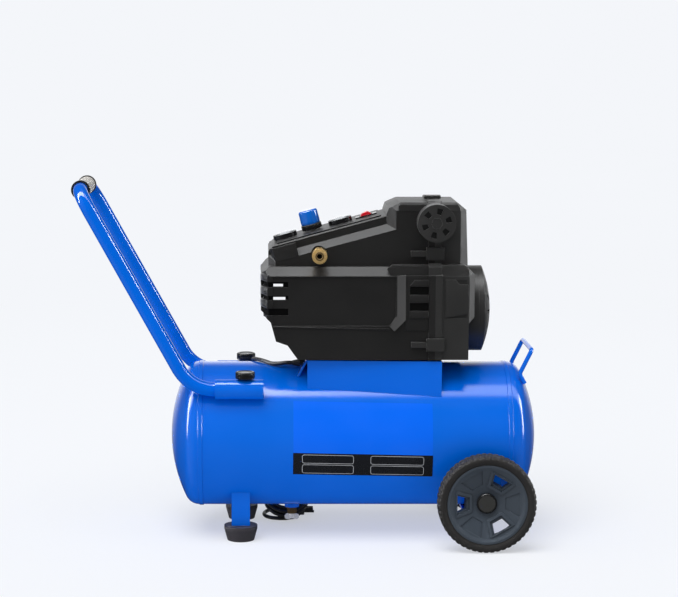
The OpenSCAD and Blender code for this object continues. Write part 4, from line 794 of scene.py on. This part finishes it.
def reflected_studio():
    """Light by direction, for reflections: panels behind, left, right and above, a strip and two lamps."""
    g = Graph("reflected_studio")
    aim = g.node("ShaderNodeVectorMath", {0: g.where}, operation="NORMALIZE").outputs[0]
    x, y, z = g.node("ShaderNodeSeparateXYZ", {0: aim}).outputs

    def total(*values):
        out = values[0]
        for value in values[1:]:
            out = g.maths("ADD", out, value)
        return out

    def product(one, two):
        return g.maths("MULTIPLY", one, two)

    tilt = g.maths("DIVIDE", y, z)
    strip = product(product(g.span(tilt, 0.0, 1.0, -0.37, -0.31), g.span(tilt, 1.0, 0.0, 0.0, 0.07)),
                    product(g.span(z, 0.0, 1.0, 0.3, 0.45), g.span(x, 15.0, 4.6, -0.02, 0.07)))
    above = g.span(z, 0.0, 1.0, -0.25, -0.02)
    behind = product(total(g.span(y, 0.0, 0.08, 0.05, 0.35), g.span(y, 0.0, 1.3, 0.82, 0.97)), above)
    left = product(g.span(x, 0.35, 0.0, -0.9, -0.35), g.span(y, 1.0, 0.0, 0.0, 0.3))
    right = product(g.span(x, 0.0, 0.15, 0.5, 0.95), g.span(y, 1.0, 0.0, 0.0, 0.3))
    # Tall narrow lamps on the left and on the right
    lean = g.maths("DIVIDE", y, g.maths("ABSOLUTE", x))
    narrow = product(g.span(lean, 0.0, 1.0, -0.12, -0.06), g.span(lean, 1.0, 0.0, 0.06, 0.12))
    tall = product(g.span(z, 0.0, 1.0, -0.05, 0.05), g.span(z, 1.0, 0.0, 0.6, 0.7))
    lamps = product(product(narrow, tall), LAMP_POWER)
    light = total(behind, left, right, strip, lamps, g.span(z, 0.03, 0.6, 0.9, 0.98))
    g.set(Base_Color=(0, 0, 0, 1), Specular_IOR_Level=0.0)
    g.set(Emission_Color=(0.97, 0.985, 1.0, 1.0), Emission_Strength=light)
    g.material.cycles.emission_sampling = "NONE"
    return g.material


def stage_piece(name, mesh, material, camera_sees, gloss_sees):
    """A piece of the studio, not of the part."""
    mesh.materials.append(material)
    made = bpy.data.objects.new(name, mesh)
    scene.collection.objects.link(made)
    made.visible_camera = camera_sees
    made.visible_glossy = gloss_sees
    return made


def ball(name, radius):
    bm = bmesh.new()
    bmesh.ops.create_uvsphere(bm, u_segments=64, v_segments=32, radius=radius)
    return from_bmesh(name, bm)


floor = bpy.data.meshes.new("floor")
floor.from_pydata([(x * FLOOR_HALF, y * FLOOR_HALF, 0) for x, y in ((-1, -1), (1, -1), (1, 1), (-1, 1))],
                  [], [(0, 1, 2, 3)])
stage_piece("floor", floor, stage_material("floor", FLOOR_GLOW, FLOOR_SHARE), True, False)
for name, radius, material, camera_sees in (
        ("backdrop", BACKDROP_R, stage_material("backdrop", 1.0, 0.0), True),
        ("reflected_studio", STUDIO_R, reflected_studio(), False)):
    dome = stage_piece(name, ball(name, radius), material, camera_sees, not camera_sees)
    dome.visible_diffuse = False
    dome.visible_shadow = False
    dome.visible_transmission = camera_sees

world = bpy.data.worlds.new("studio")
world.use_nodes = True
background = world.node_tree.nodes["Background"].inputs
background["Color"].default_value = (0.96, 0.98, 1.0, 1.0)
background["Strength"].default_value = 0.3
scene.world = world


def far_lamp(name, azimuth, elevation, spread, power):
    """Parallel light from a direction: 0 is in front and 90 is on the right."""
    data = bpy.data.lights.new(name, "SUN")
    data.energy = power
    data.angle = math.radians(spread)
    lamp = bpy.data.objects.new(name, data)
    a, e = math.radians(azimuth), math.radians(elevation)
    aim = -Vector((math.sin(a) * math.cos(e), -math.cos(a) * math.cos(e), math.sin(e)))
    lamp.rotation_euler = aim.to_track_quat("-Z", "Y").to_euler()
    lamp.visible_glossy = False
    scene.collection.objects.link(lamp)


far_lamp("overhead", -24, 66, 46, 2.2)
far_lamp("front", -20, 25, 60, 0.7)
far_lamp("left", -80, 12, 40, 0.35)
far_lamp("right", 80, 12, 40, 0.25)
